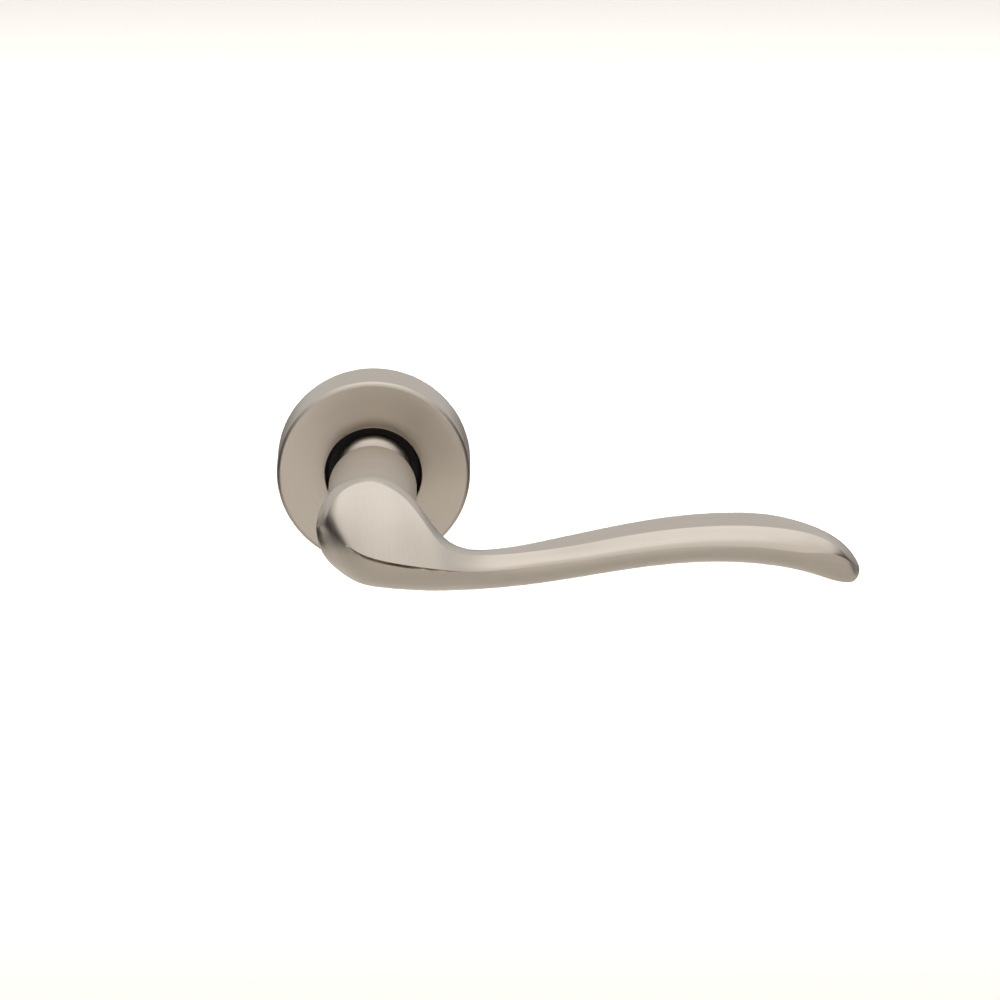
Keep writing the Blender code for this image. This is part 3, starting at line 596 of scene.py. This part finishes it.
def section(corners, upper_softness, lower_softness):
    """One closed section of the arm through its six corners: crown, two creases, keel, heel and back."""
    smooth = [(corners[(k + 1) % 6] - corners[k - 1]) / 2 for k in range(6)]
    outline = []
    for k, steps in enumerate(SPAN_STEPS):
        start, end = corners[k], corners[(k + 1) % 6]
        chord = end - start
        reach = np.linalg.norm(chord)
        leave, arrive = smooth[k], smooth[(k + 1) % 6]
        leave = leave / max(np.linalg.norm(leave), 1e-9) * reach
        arrive = arrive / max(np.linalg.norm(arrive), 1e-9) * reach
        bulge = FACE_CROWN * 4 * np.array([-chord[1], chord[0]])
        if k == 0:
            leave += LIP_FLATNESS * (1 - upper_softness) * (chord - leave)
            arrive += (1 - upper_softness) * (2 * chord - leave - arrive)
        if k == 1:
            leave += (1 - upper_softness) * (chord + bulge - leave)
            arrive += (1 - lower_softness) * (chord - bulge - arrive)
        if k == 2:
            leave += (1 - lower_softness) * (2 * chord - arrive - leave)
        t = span_places(steps, k in (1, 2), k in (0, 1))[:, None]
        blend = start * (1 + 2 * t) * (1 - t) ** 2 + end * t * t * (3 - 2 * t)
        outline.append(blend + leave * t * (1 - t) ** 2 - arrive * t * t * (1 - t))
    return np.concatenate(outline)


def round_over(outline, passes):
    """Creases rounded a little, by averaging neighbours."""
    for _ in range(passes):
        outline = 0.25 * np.roll(outline, 1, 0) + 0.5 * outline + 0.25 * np.roll(outline, -1, 0)
    return outline


def press_groove(outline, first, steps, depth):
    """A fine slit pressed into a span of the outline, just after its first point, with sloping walls."""
    inward = np.roll(outline, -1, 0) - np.roll(outline, 1, 0)
    inward = np.stack([inward[:, 1], -inward[:, 0]], 1)
    inward /= np.linalg.norm(inward, axis=1)[:, None]
    if (outline.mean(0) - outline[first]) @ inward[first] < 0:
        inward = -inward
    corner = outline[first].copy()
    width = GROOVE_WIDTH * min(1, 0.3 + depth / 2)  # narrower where it's shallow
    for i in range(first, first + steps):
        away = np.linalg.norm(outline[i] - corner) / width
        share = max(0, min(1, away / GROOVE_WALL, (1 - away) / GROOVE_WALL))
        outline[i] += inward[first + steps // 4] * depth * share
    return outline


def arm():
    """The cast arm: rings of points round the lines that run along it, closed at the butt and the tip."""
    start, end = travel(BUTT_X), travel(TIP_X)
    count = round((end - start) / ARM_RING_SPACING)
    stations = np.array([start + (end - start) * i / count for i in range(count + 1)])
    lines = []
    for line in (CROWN, UPPER_CREASE, LOWER_CREASE, KEEL, HEEL, BACK):
        knots = [travel(x) for x, front, z in line]
        lines.append(smooth_curve(knots, [(front, z) for x, front, z in line], stations))
    skin = Skin()
    rings = [skin.ring([point(*BUTT)])]
    for index in range(1, count):
        x = station_x(stations[index])
        upper, lower = (np.interp(x, *zip(*table)) for table in (UPPER_SOFTNESS, LOWER_SOFTNESS))
        leaf_groove, rim_groove = (np.interp(x, *zip(*table)) for table in (LEAF_GROOVE, RIM_GROOVE))
        outline = round_over(section([line[index] for line in lines], upper, lower), CREASE_ROUNDING)
        outline = press_groove(outline, SPAN_STEPS[0] + SPAN_STEPS[1], SPAN_STEPS[2], leaf_groove)
        outline = press_groove(outline, 0, SPAN_STEPS[0], rim_groove)
        rings.append(skin.ring([point(x, front, z) for front, z in outline]))
    rings.append(skin.ring([point(*TIP)]))
    for k in range(count):
        skin.weave(rings[k], rings[k + 1], 0.4, stations[k], stations[k + 1], turned_grain=False)
    return skin.mesh


CLEARANCE = 0.3
JOURNAL_RADIUS, JOURNAL_BACK = 8.0, -0.8
RING_GROOVE_RADIUS, RING_GROOVE_BACK, RING_GROOVE_FRONT = 7.0, 0.1, 1.3
LEVER_SIDES = 144
COLLAR_BACK, COLLAR_RADIUS = 8.95, 9.8  # the collar bears on the washer
DOME_BACK, DOME_RADIUS, DOME_START, DOME_END = 9.3, 6.2, 36, 66  # its domed front, the two angles in degrees
NECK_RADIUS, NECK_BACK, NECK_FILLET, NECK_END = 11.3, 21.8, 1.4, 49.0
FLAT_DISTANCE, DRIVE_PLATE, DRIVE_PLATE_RADIUS = 7.0, (1.4, 2.9), 11.2
SOCKET_HALF, SOCKET_END = 4.15, 30.0
GRUB_RADIUS, GRUB_FRONT = 2.7, 26.0


def build_lever(shader):
    rear = [(0, JOURNAL_BACK), (JOURNAL_RADIUS, JOURNAL_BACK), (JOURNAL_RADIUS, RING_GROOVE_BACK)]
    rear += [(RING_GROOVE_RADIUS, RING_GROOVE_BACK), (RING_GROOVE_RADIUS, RING_GROOVE_FRONT)]
    rear += [(JOURNAL_RADIUS, RING_GROOVE_FRONT), (JOURNAL_RADIUS, COLLAR_BACK), (COLLAR_RADIUS, COLLAR_BACK)]
    profile = eased(rear, 0.2, closed=False)
    start = radians(DOME_START)
    centre = (COLLAR_RADIUS - DOME_RADIUS * cos(start), DOME_BACK - DOME_RADIUS * sin(start))
    profile += arc(*centre, DOME_RADIUS, DOME_START, DOME_END, 16)
    stem_front = [profile.pop(), (profile[-1][0], NECK_BACK), (NECK_RADIUS - NECK_FILLET, NECK_BACK)]
    profile += eased(stem_front, 0.5, closed=False)
    profile += arc(NECK_RADIUS - NECK_FILLET, NECK_BACK + NECK_FILLET, NECK_FILLET, -90, 0, 12)[1:]
    profile += [(NECK_RADIUS, front) for front in np.linspace(NECK_BACK + NECK_FILLET + 2, NECK_END, 12)]
    profile += [(0, NECK_END)]
    lever = finish_object("lever_casting", turned(profile, LEVER_SIDES), shader)
    join(lever, arm())
    socket = (-SOCKET_HALF, SOCKET_HALF)
    cut(lever, box(socket, (JOURNAL_BACK - 1, SOCKET_END), socket))
    reach = JOURNAL_RADIUS + 1
    for side in (-1, 1):
        x_range = sorted((side * FLAT_DISTANCE, side * reach))
        cut(lever, box(x_range, (RING_GROOVE_FRONT + 0.001, DRIVE_PLATE[1] + CLEARANCE), (-reach, reach)))
    bore = GRUB_RADIUS + CLEARANCE
    hole = turned([(0, 0), (bore + 0.5, 0), (bore + 0.5, 1.7), (bore, 2.3), (bore, 10), (0, 10)], 48)
    cut(lever, tilt(hole, -90, "X"), point(0, GRUB_FRONT, -SOCKET_HALF - 9))
    lever.data.shade_smooth()
    lever.data.set_sharp_from_angle(angle=radians(42))
    return place(lever, "handle", "satin_nickel", "lever")


# ---------------------------------------------------------------- rose and plate

ROSE_RADIUS, ROSE_DEPTH, ROSE_WALL, ROSE_FILLET, ROSE_HOLE_RADIUS = 25.0, 12.0, 1.1, 1.25, 12.55


def build_rose(shader):
    inner, front = ROSE_RADIUS - ROSE_WALL, ROSE_DEPTH - ROSE_WALL
    profile = [(inner + 0.15, 0), (ROSE_RADIUS - 0.15, 0), (ROSE_RADIUS, 0.15)]
    profile += arc(ROSE_RADIUS - ROSE_FILLET, ROSE_DEPTH - ROSE_FILLET, ROSE_FILLET, 0, 90, 14)
    profile += [(ROSE_RADIUS - ROSE_FILLET - step, ROSE_DEPTH) for step in (2, 4, 6, 8)]
    profile += arc(ROSE_HOLE_RADIUS + 0.2, ROSE_DEPTH - 0.2, 0.2, 90, 180, 5)
    profile += [(ROSE_HOLE_RADIUS, front), (inner - 0.6, front)]
    profile += [(inner - 0.18, front - 0.18), (inner, front - 0.6), (inner, 0.15)]
    cover = finish_object("rose_shell", turned(profile, 224), shader)
    cut(cover, box((-3.0, 3.0), (-1, 1.2), (-ROSE_RADIUS - 1, -inner + 1)))
    cover.data.shade_smooth()
    cover.data.set_sharp_from_angle(angle=radians(35))
    return place(cover, "rose", "satin_nickel", "rose_cover")


PLATE_RADIUS, PLATE_DEPTH, FRONT_RECESS_RADIUS = 23.5, 10.2, 13.7
WEB_BACK, WEB_FRONT, WEB_BORE_RADIUS, WEB_RADIUS = 4.2, 6.8, 9.9, 11.4
SPRING_POCKET_RADIUS, SPRING_POCKET_END = 14.2, 6.0
WIRE_GROOVE_BACK, WIRE_GROOVE_FRONT, WIRE_GROOVE_RADIUS = 2.2, 3.6, 22.5
FIXING_CIRCLE_RADIUS = 19.0
BOLT_HOLE, SCREW_HOLE = (3.15, 3.7, 5.0), (2.05, 3.9, 6.0)  # radius, head's radius, floor under the head
BOLT_ANGLES = {"right": 0, "left": 180}
SCREW_ANGLES = (45, 135, 225, 315)
REAR_POCKET, REAR_POCKET_FRONT, REAR_POCKET_ANGLES = (15.8, 21.8), 7.5, (68, 112, 248, 292)
EJECTOR_MARK_RADIUS, EJECTOR_MARK_DEPTH, EJECTOR_MARK_ANGLES = 1.3, 0.15, (22, 90, 158, 202, 270, 338)
STOP_ANGLE, STOP_HALF_WIDTH, STOP_SLACK, TURN_RANGE = 200.0, 8.0, 2.0, 45.0


def fixing_hole(radius, head_radius, floor):
    """A stepped cutter: a plain hole from the back, and a wider one for the head from the front."""
    profile = [(0, -1), (radius + 0.5, -1), (radius + 0.5, 0), (radius, 0.5), (radius, floor)]
    profile += [(head_radius, floor), (head_radius, PLATE_DEPTH - 0.3)]
    profile += [(head_radius + 0.4, PLATE_DEPTH + 0.1)]
    return turned(profile + [(head_radius + 0.4, PLATE_DEPTH + 1), (0, PLATE_DEPTH + 1)], 40)


def build_plate(shader):
    profile = [(SPRING_POCKET_RADIUS, 0), (PLATE_RADIUS, 0), (PLATE_RADIUS, WIRE_GROOVE_BACK)]
    profile += [(WIRE_GROOVE_RADIUS, WIRE_GROOVE_BACK), (WIRE_GROOVE_RADIUS, WIRE_GROOVE_FRONT)]
    profile += [(PLATE_RADIUS, WIRE_GROOVE_FRONT), (PLATE_RADIUS, PLATE_DEPTH)]
    profile += [(FRONT_RECESS_RADIUS, PLATE_DEPTH)]
    profile += [(FRONT_RECESS_RADIUS, WEB_FRONT), (WEB_BORE_RADIUS, WEB_FRONT), (WEB_BORE_RADIUS, WEB_BACK)]
    profile += [(WEB_RADIUS, WEB_BACK), (WEB_RADIUS, SPRING_POCKET_END)]
    profile += [(SPRING_POCKET_RADIUS, SPRING_POCKET_END)]
    plate = finish_object("base_moulding", turned(eased(profile, 0.3), 160), shader)
    holes = []
    for hole, angles in ((BOLT_HOLE, BOLT_ANGLES.values()), (SCREW_HOLE, SCREW_ANGLES)):
        for angle in angles:
            x, z = polar(FIXING_CIRCLE_RADIUS, angle)
            holes.append((fixing_hole(*hole), point(x, 0, z)))
    for angle in REAR_POCKET_ANGLES:
        outline = eased(sector(*REAR_POCKET, angle - 8, angle + 8, 12), 0.8, 5)
        holes.append((prism(outline, -1, REAR_POCKET_FRONT), (0, 0, 0)))
    cut(plate, gathered(holes))
    marks = []
    for angle in EJECTOR_MARK_ANGLES:
        x, z = polar(FIXING_CIRCLE_RADIUS, angle)
        marks.append((turned(plug(EJECTOR_MARK_RADIUS, -1, EJECTOR_MARK_DEPTH), 32), point(x, 0, z)))
    cut(plate, gathered(marks))
    cut(plate, prism(sector(SPRING_POCKET_RADIUS - 1, 17.0, 86, 94, 6), -1, SPRING_POCKET_END - 0.1))
    peg = sector(10.1, 10.9, STOP_ANGLE - STOP_HALF_WIDTH, STOP_ANGLE + STOP_HALF_WIDTH, 12)
    join(plate, prism(peg, 1.6, WEB_BACK + 0.5))
    plate.data.shade_smooth()
    plate.data.set_sharp_from_angle(angle=radians(35))
    return place(plate, "base", "black_nylon", "mounting_plate")


FLANGE_BACK, FLANGE_FRONT = 7.1, 7.95
WASHER_RADIUS, WASHER_BACK, WASHER_FRONT = 11.8, 8.2, 8.7


def build_bearing(shader):
    bore = JOURNAL_RADIUS + CLEARANCE
    body, flange = WEB_BORE_RADIUS - CLEARANCE, FRONT_RECESS_RADIUS - CLEARANCE
    profile = [(bore, WEB_BACK + 0.1), (body, WEB_BACK + 0.1), (body, FLANGE_BACK)]
    profile += [(flange, FLANGE_BACK), (flange, FLANGE_FRONT), (bore, FLANGE_FRONT)]
    bush = finish_object("bush", turned(eased(profile, 0.2), LEVER_SIDES), shader)
    place(bush, "base", "black_acetal", "bearing_bush")
    washer_profile = eased(plain_ring(bore, WASHER_RADIUS, WASHER_BACK, WASHER_FRONT), 0.15)
    washer = finish_object("slip_washer", turned(washer_profile, LEVER_SIDES), shader)
    place(washer, "base", "black_acetal", "thrust_washer")


def build_drive_plate(shader):
    back, front = DRIVE_PLATE
    bore = JOURNAL_RADIUS + CLEARANCE
    profile = eased(plain_ring(bore, DRIVE_PLATE_RADIUS, back, front), 0.15)
    plate = finish_object("follower_plate", turned(profile, LEVER_SIDES), shader)
    for side in (-1, 1):
        x_range = sorted((side * (FLAT_DISTANCE + CLEARANCE), side * (bore + 0.8)))
        join(plate, box(x_range, (back + 0.05, front - 0.05), (-4.6, 4.6)))
    start = STOP_ANGLE - STOP_HALF_WIDTH - STOP_SLACK
    end = STOP_ANGLE + STOP_HALF_WIDTH + STOP_SLACK + TURN_RANGE
    anchor = SPRING_ANCHOR - 360 * SPRING_TURNS
    window = prism(sector(9.6, 12.5, start, end, 40), back - 1, front + 1)
    notch = prism(sector(9.8, 12.5, anchor - 5, anchor + 5, 8), back - 1, front + 1)
    cut(plate, window)
    cut(plate, notch)
    plate.data.set_sharp_from_angle(angle=radians(35))
    place(plate, "handle", "zinc_plated_steel", "drive_plate")


SPRING_ANCHOR, SPRING_TURNS, SPRING_RADIUS, SPRING_WIRE_RADIUS = 90.0, 2.25, 12.75, 0.6
SPRING_BACK, SPRING_FRONT, SPRING_OUTER_LEG, SPRING_INNER_LEG = 2.15, 5.2, 16.4, 10.3
WAVE_RADIUS, WAVE_BACK, WAVE_FRONT, WAVE_THICKNESS = 9.75, 3.2, 3.95, 0.35
GRIP_RADIUS, GRIP_WIRE_RADIUS, GRIP_START, GRIP_SWEEP = 23.2, 0.4, 100, 340


def build_return_spring(shader):
    """The torsion coil, which winds further as the lever turns; here it is built at rest and stays still."""
    steps = 100
    path = []
    for i in range(steps + 1):
        x, z = polar(SPRING_RADIUS, SPRING_ANCHOR - 360 * SPRING_TURNS * i / steps)
        path.append(point(x, SPRING_FRONT + (SPRING_BACK - SPRING_FRONT) * i / steps, z))
    outer_x, outer_z = polar(SPRING_OUTER_LEG, SPRING_ANCHOR)
    inner_x, inner_z = polar(SPRING_INNER_LEG, SPRING_ANCHOR - 360 * SPRING_TURNS)
    path = [point(outer_x, SPRING_FRONT, outer_z)] + path + [point(inner_x, SPRING_BACK, inner_z)]
    coil = finish_object("torsion_coil", wire(path, SPRING_WIRE_RADIUS), shader)
    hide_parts("return_spring")
    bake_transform(coil)


def build_wave_washer(shader):
    profile = eased(plain_ring(JOURNAL_RADIUS + CLEARANCE, WAVE_RADIUS, WAVE_BACK, WAVE_FRONT), 0.08, 2)
    mesh = turned(profile, LEVER_SIDES)
    height, middle = WAVE_FRONT - WAVE_BACK, (WAVE_FRONT + WAVE_BACK) / 2
    swing = (height - WAVE_THICKNESS) / 2
    for vert in mesh.verts:
        angle = atan2(vert.co.z, vert.co.x)
        within = (-vert.co.y / MM - middle) / height
        vert.co.y = -(middle + swing * cos(3 * angle) + within * WAVE_THICKNESS) * MM
    place(finish_object("wave_spring", mesh, shader), "handle", "spring_steel", "wave_washer")


def build_snap_ring(shader):
    """The wire round the base that grips the rose."""
    middle, steps = (WIRE_GROOVE_BACK + WIRE_GROOVE_FRONT) / 2, 150
    turns = [polar(GRIP_RADIUS, GRIP_START + GRIP_SWEEP * i / steps) for i in range(steps + 1)]
    grip = finish_object("grip_wire", wire([point(x, middle, z) for x, z in turns], GRIP_WIRE_RADIUS), shader)
    place(grip, "base", "spring_steel", "snap_ring")


def build_retaining_ring(shader):
    """An open ring in the journal's groove, with an eye at each end for the pliers."""
    back, front, opening, outer = 0.35, 1.05, 14.0, 9.2
    outline = sector(7.25, outer, 270 + opening, 630 - opening, 110)
    ring = finish_object("circlip", prism(outline, back, front), shader)
    for side in (-1, 1):
        x, z = polar(outer, 270 + side * (opening + 7))
        join(ring, turned(plug(1.3, back, front), 32), point(x, 0, z))
        cut(ring, turned(plug(0.6, back - 1, front + 1), 24), point(x, 0, z))
    bevel_edges(ring, 0.08, 50)
    place(ring, "handle", "black_oxide_steel", "retaining_ring")


SPINDLE_HALF, SPINDLE_CHAMFER, SPINDLE_BACK, SPINDLE_FRONT = 4.0, 0.5, -55.0, 29.5


def build_spindle(shader):
    """A square bar with broken edges and chamfered ends."""
    skin = Skin()
    rings = []
    ends = [(SPINDLE_BACK, 0.6), (SPINDLE_BACK + 0.6, 0), (SPINDLE_FRONT - 0.6, 0), (SPINDLE_FRONT, 0.6)]
    for front, inset in ends:
        half = SPINDLE_HALF - inset
        corners = [(half, half), (-half, half), (-half, -half), (half, -half)]
        outline = eased(corners, SPINDLE_CHAMFER, 3)
        rings.append(skin.ring([point(x, front, z) for x, z in outline]))
    for k in range(3):
        skin.weave(rings[k], rings[k + 1], 1.0, ends[k][0], ends[k + 1][0], turned_grain=False)
    flat = [(0, 0)] * len(rings[0])
    skin.face(rings[0], flat)
    skin.face(list(reversed(rings[-1])), flat)
    bar = finish_object("square_bar", skin.mesh, shader, sharp_angle=25)
    place(bar, "handle", "zinc_plated_steel", "spindle")


def build_grub_screw(shader):
    """A socket set screw that comes up from under the neck. Its own axis runs along Z."""
    length = 6.2
    profile = [(0, 0), (GRUB_RADIUS - 0.4, 0), (GRUB_RADIUS, 0.4)]
    profile += close_rings(GRUB_RADIUS, 0.5, length - 1.2, 0.1)
    profile += [(GRUB_RADIUS - 1.2, length), (0, length)]
    screw = turned(profile, 48, thread(0.35, 0.8, 0.4, length - 1.2))
    place_in_neck = point(0, GRUB_FRONT, -SPINDLE_HALF - 0.3 - length)
    grub = finish_object("set_screw", tilt(screw, -90, "X"), shader, location=place_in_neck)
    cut(grub, tilt(prism(hexagon(3.0), -1, 2.8), -90, "X"), place_in_neck)
    place(grub, "handle", "black_oxide_steel", "grub_screw")


def build_through_bolts(shader):
    """A lug and a bolt each side. The lugs stop the plate from turning on the door."""
    for side, angle in BOLT_ANGLES.items():
        x, z = polar(FIXING_CIRCLE_RADIUS, angle)
        lug = [(2.25, -10), (2.85, -10), (2.85, -8.8), (2.7, -8.8), (2.7, -8.3), (2.85, -8.3), (2.85, 5.3)]
        lug = eased(lug + [(3.4, 5.3), (3.4, 6.3), (2.25, 6.3)], 0.25)
        boss = finish_object(f"lug_{side}", turned(lug, 64), shader, location=point(x, 0, z))
        place(boss, "base", "zinc_plated_steel", f"support_lug_{side}")
        bolt = [(0, -30), (1.4, -30), (1.9, -29.5)] + close_rings(1.9, -29.4, -9.0, 0.0875)
        bolt += eased([(1.9, -8.9), (1.9, 6.6), (3.4, 6.6), (3.4, 6.9)], 0.2, closed=False)
        bolt += close_rings(3.4, 7.0, 8.8, 0.2) + [(3.4, 8.9), (3.3, 9.15), (3.0, 9.3), (0, 9.3)]
        rises, grip = thread(0.36, 0.7, -29.4, -9.2), knurl(0.12, 36, 7.0, 8.8)
        screw = turned(bolt, 96, lambda r, f, a: grip(r, f, a) if f > 6.6 else rises(r, f, a))
        head = finish_object(f"cap_screw_{side}", screw, shader, location=point(x, 0, z))
        cut(head, prism(hexagon(2.5), 7.6, 10), point(x, 0, z))
        head.data.set_sharp_from_angle(angle=radians(35))
        place(head, "base", "zinc_plated_steel", f"fixing_bolt_{side}")


def cross_recess():
    """A cutter for a cross recess whose arms taper inwards."""
    skin = Skin()
    rings = []
    for front, reach, half in ((7.1, 1.1, 0.28), (9.0, 2.2, 0.48)):
        quarter = [(reach, -half), (reach, half), (half, half)]
        outline = []
        for turn in range(4):
            c, s = cos(turn * pi / 2), sin(turn * pi / 2)
            outline += [(x * c - z * s, x * s + z * c) for x, z in quarter]
        rings.append(skin.ring([point(x, front, z) for x, z in outline]))
    skin.weave(*rings, 0.3, 0, 1)
    flat = [(0, 0)] * len(rings[0])
    skin.face(rings[0], flat)
    skin.face(list(reversed(rings[1])), flat)
    return skin.mesh


def build_wood_screws(shader):
    for number, angle in enumerate(SCREW_ANGLES):
        x, z = polar(FIXING_CIRCLE_RADIUS, angle)
        screw = [(0, -13), (0.15, -12.95)]
        screw += [(0.3 + 1.45 * ((f + 12.8) / 4) ** 0.8, f) for f in np.arange(-12.8, -8.8, 0.14)]
        screw += close_rings(1.75, -8.8, 4.6, 0.14) + [(1.75, 6.3)]
        head = [(3.5 * cos(a), 6.9 + 1.7 * sin(a)) for a in (radians(9 * k) for k in range(10))]
        screw += [(3.45, 6.3)] + head + [(0, 8.6)]
        body = turned(screw, 40, thread(0.5, 1.4, -12.9, 4.4))
        made = finish_object(f"pan_screw_{number + 1}", body, shader, location=point(x, 0, z))
        cut(made, cross_recess(), point(x, 0, z))
        made.data.set_sharp_from_angle(angle=radians(35))
        place(made, "base", "zinc_plated_steel", f"wood_screw_{number + 1}")


def main():
    build_lever(brushed_nickel())
    build_rose(turned_nickel())
    nylon = moulded("black_nylon", (0.008, 0.006, 0.005), 0.5, 0.01)
    acetal = moulded("black_acetal", (0.005, 0.004, 0.003), 0.4, 0.002)
    zinc = plated_steel("zinc_plate", (0.56, 0.57, 0.58), 0.32)
    spring = plated_steel("spring_steel", (0.30, 0.29, 0.28), 0.28)
    oxide = plated_steel("black_oxide", (0.05, 0.05, 0.055), 0.42)
    build_plate(nylon)
    build_bearing(acetal)
    build_drive_plate(zinc)
    build_return_spring(spring)
    build_wave_washer(spring)
    build_snap_ring(spring)
    build_retaining_ring(oxide)
    build_spindle(zinc)
    build_grub_screw(oxide)
    build_through_bolts(zinc)
    build_wood_screws(zinc)
    build_studio()
    build_camera()


# ---------------------------------------------------------------- studio


def aim(thing, target):
    thing.rotation_euler = (Vector(target) - thing.location).to_track_quat("-Z", "Y").to_euler()


def area_light(name, location, target, size, power, seen_in_metal=True):
    data = bpy.data.lights.new(name, "AREA")
    data.shape = "RECTANGLE"
    data.size, data.size_y = size
    data.energy = power
    light = bpy.data.objects.new(name, data)
    bpy.context.scene.collection.objects.link(light)
    light.location = location
    aim(light, target)
    light.visible_glossy = seen_in_metal
    light.visible_camera = False
    return light


def matt(name, colour):
    return new_material(name, colour, 0.9, specular=0.1)[0]


def sheet(name, width, depth, location, rotation, shader):
    mesh = bmesh.new()
    bmesh.ops.create_grid(mesh, x_segments=1, y_segments=1, size=0.5)
    bmesh.ops.scale(mesh, vec=(width, depth, 1), verts=mesh.verts)
    data = bpy.data.meshes.new(name)
    mesh.to_mesh(data)
    mesh.free()
    data.materials.append(shader)
    thing = bpy.data.objects.new(name, data)
    bpy.context.scene.collection.objects.link(thing)
    thing.location = location
    thing.rotation_euler = rotation
    return thing


def card(name, size, location, rotation, shader):
    """A card that only the metal sees."""
    thing = sheet(name, *size, location, rotation, shader)
    thing.visible_camera = False
    thing.visible_shadow = False
    thing.visible_diffuse = False


def build_studio():
    floor = matt("pale_floor", FLOOR_COLOUR)
    sheet("studio_floor", FLOOR_SIZE, FLOOR_SIZE, (0, 0, FLOOR_LEVEL), (0, 0, 0), floor)
    black = matt("black_card", (0.06, 0.06, 0.06))
    across, depth, height = CARD_PLACE
    for name, side in (("black_card_left", -1), ("black_card_right", 1)):
        card(name, CARD_SIZE, (side * across, depth, height), (0, radians(90), 0), black)
    grey = matt("grey_card", (0.3, 0.3, 0.3))
    card("grey_card_back", BACK_CARD_SIZE, BACK_CARD_PLACE, (radians(90), 0, 0), grey)
    overhead = area_light("overhead_softbox", (0, -0.2, 1.2), (0, -0.05, 0), (1.4, 1.3), SOFTBOX_POWER)
    overhead.data.color = SOFTBOX_COLOUR
    floor_light("backdrop_light", BACKDROP_Y, 1.1, (1.8, 1.3), BACKDROP_POWER)
    floor_light("front_floor_light", FRONT_FLOOR_Y, 0.9, (1.6, 1.0), FRONT_FLOOR_POWER)
    build_world()
    bpy.context.scene.view_settings.view_transform = "Standard"


def floor_light(name, y, height, size, power):
    """A narrow light straight down onto the floor, which the metal doesn't see."""
    light = area_light(name, (0, y, height), (0, y, 0), size, power, seen_in_metal=False)
    light.data.spread = radians(FLOOR_LIGHT_SPREAD)


def build_world():
    """Soft light from all round, brightest in front of the handle and above it, and dark at both sides."""
    world = bpy.data.worlds.new("studio")
    bpy.context.scene.world = world
    world.use_nodes = True
    tree = world.node_tree
    direction = add_node(tree, "ShaderNodeTexCoord").outputs["Generated"]
    x, y, z = add_node(tree, "ShaderNodeSeparateXYZ", {0: direction}).outputs
    aside = math_node(tree, "MULTIPLY", math_node(tree, "ABSOLUTE", x), SIDE_ACROSS)
    aside = math_node(tree, "ADD", aside, math_node(tree, "MULTIPLY", y, -SIDE_FORWARD))
    low = fade(tree, math_node(tree, "ABSOLUTE", z), 0.68, 0.2)
    dark = math_node(tree, "MULTIPLY", fade(tree, aside, 0.60, 0.90), low)
    limits = {"From Min": -0.7, "From Max": 0.7, "To Min": FRONT_LEVEL, "To Max": BACK_LEVEL}
    open_level = add_node(tree, "ShaderNodeMapRange", {"Value": y, **limits}).outputs["Result"]
    overhead = math_node(tree, "MULTIPLY", fade(tree, z, 0.5, 0.95), TOP_LEVEL)
    open_level = math_node(tree, "ADD", open_level, overhead)
    share = math_node(tree, "SUBTRACT", 1.0, math_node(tree, "MULTIPLY", dark, SIDE_LOSS))
    level = math_node(tree, "MULTIPLY", open_level, share)
    tree.links.new(level, tree.nodes["Background"].inputs["Strength"])
    tree.nodes["Background"].inputs["Color"].default_value = (1.0, 1.0, 1.0, 1)


def fade(tree, value, start, end):
    """0 at the start and 1 at the end, with a smooth turn at both."""
    made = add_node(tree, "ShaderNodeMapRange", {"Value": value}, interpolation_type="SMOOTHSTEP")
    made.inputs["From Min"].default_value = min(start, end)
    made.inputs["From Max"].default_value = max(start, end)
    made.inputs["To Min"].default_value = float(start > end)
    made.inputs["To Max"].default_value = float(end > start)
    return made.outputs["Result"]


def build_camera():
    elevation = radians(CAMERA_ELEVATION)
    forward = Vector((0, cos(elevation), -sin(elevation)))
    up = Vector((0, sin(elevation), cos(elevation)))
    across, above = CAMERA_AIM
    data = bpy.data.cameras.new("camera")
    data.sensor_width = SENSOR_WIDTH
    data.lens = SENSOR_WIDTH * CAMERA_DISTANCE / VIEW_WIDTH
    data.clip_end = 50
    camera = bpy.data.objects.new("camera", data)
    bpy.context.scene.collection.objects.link(camera)
    camera.location = forward * -CAMERA_DISTANCE + Vector((across, 0, 0)) + up * above
    camera.rotation_euler = forward.to_track_quat("-Z", "Y").to_euler()
    bpy.context.scene.camera = camera


main()
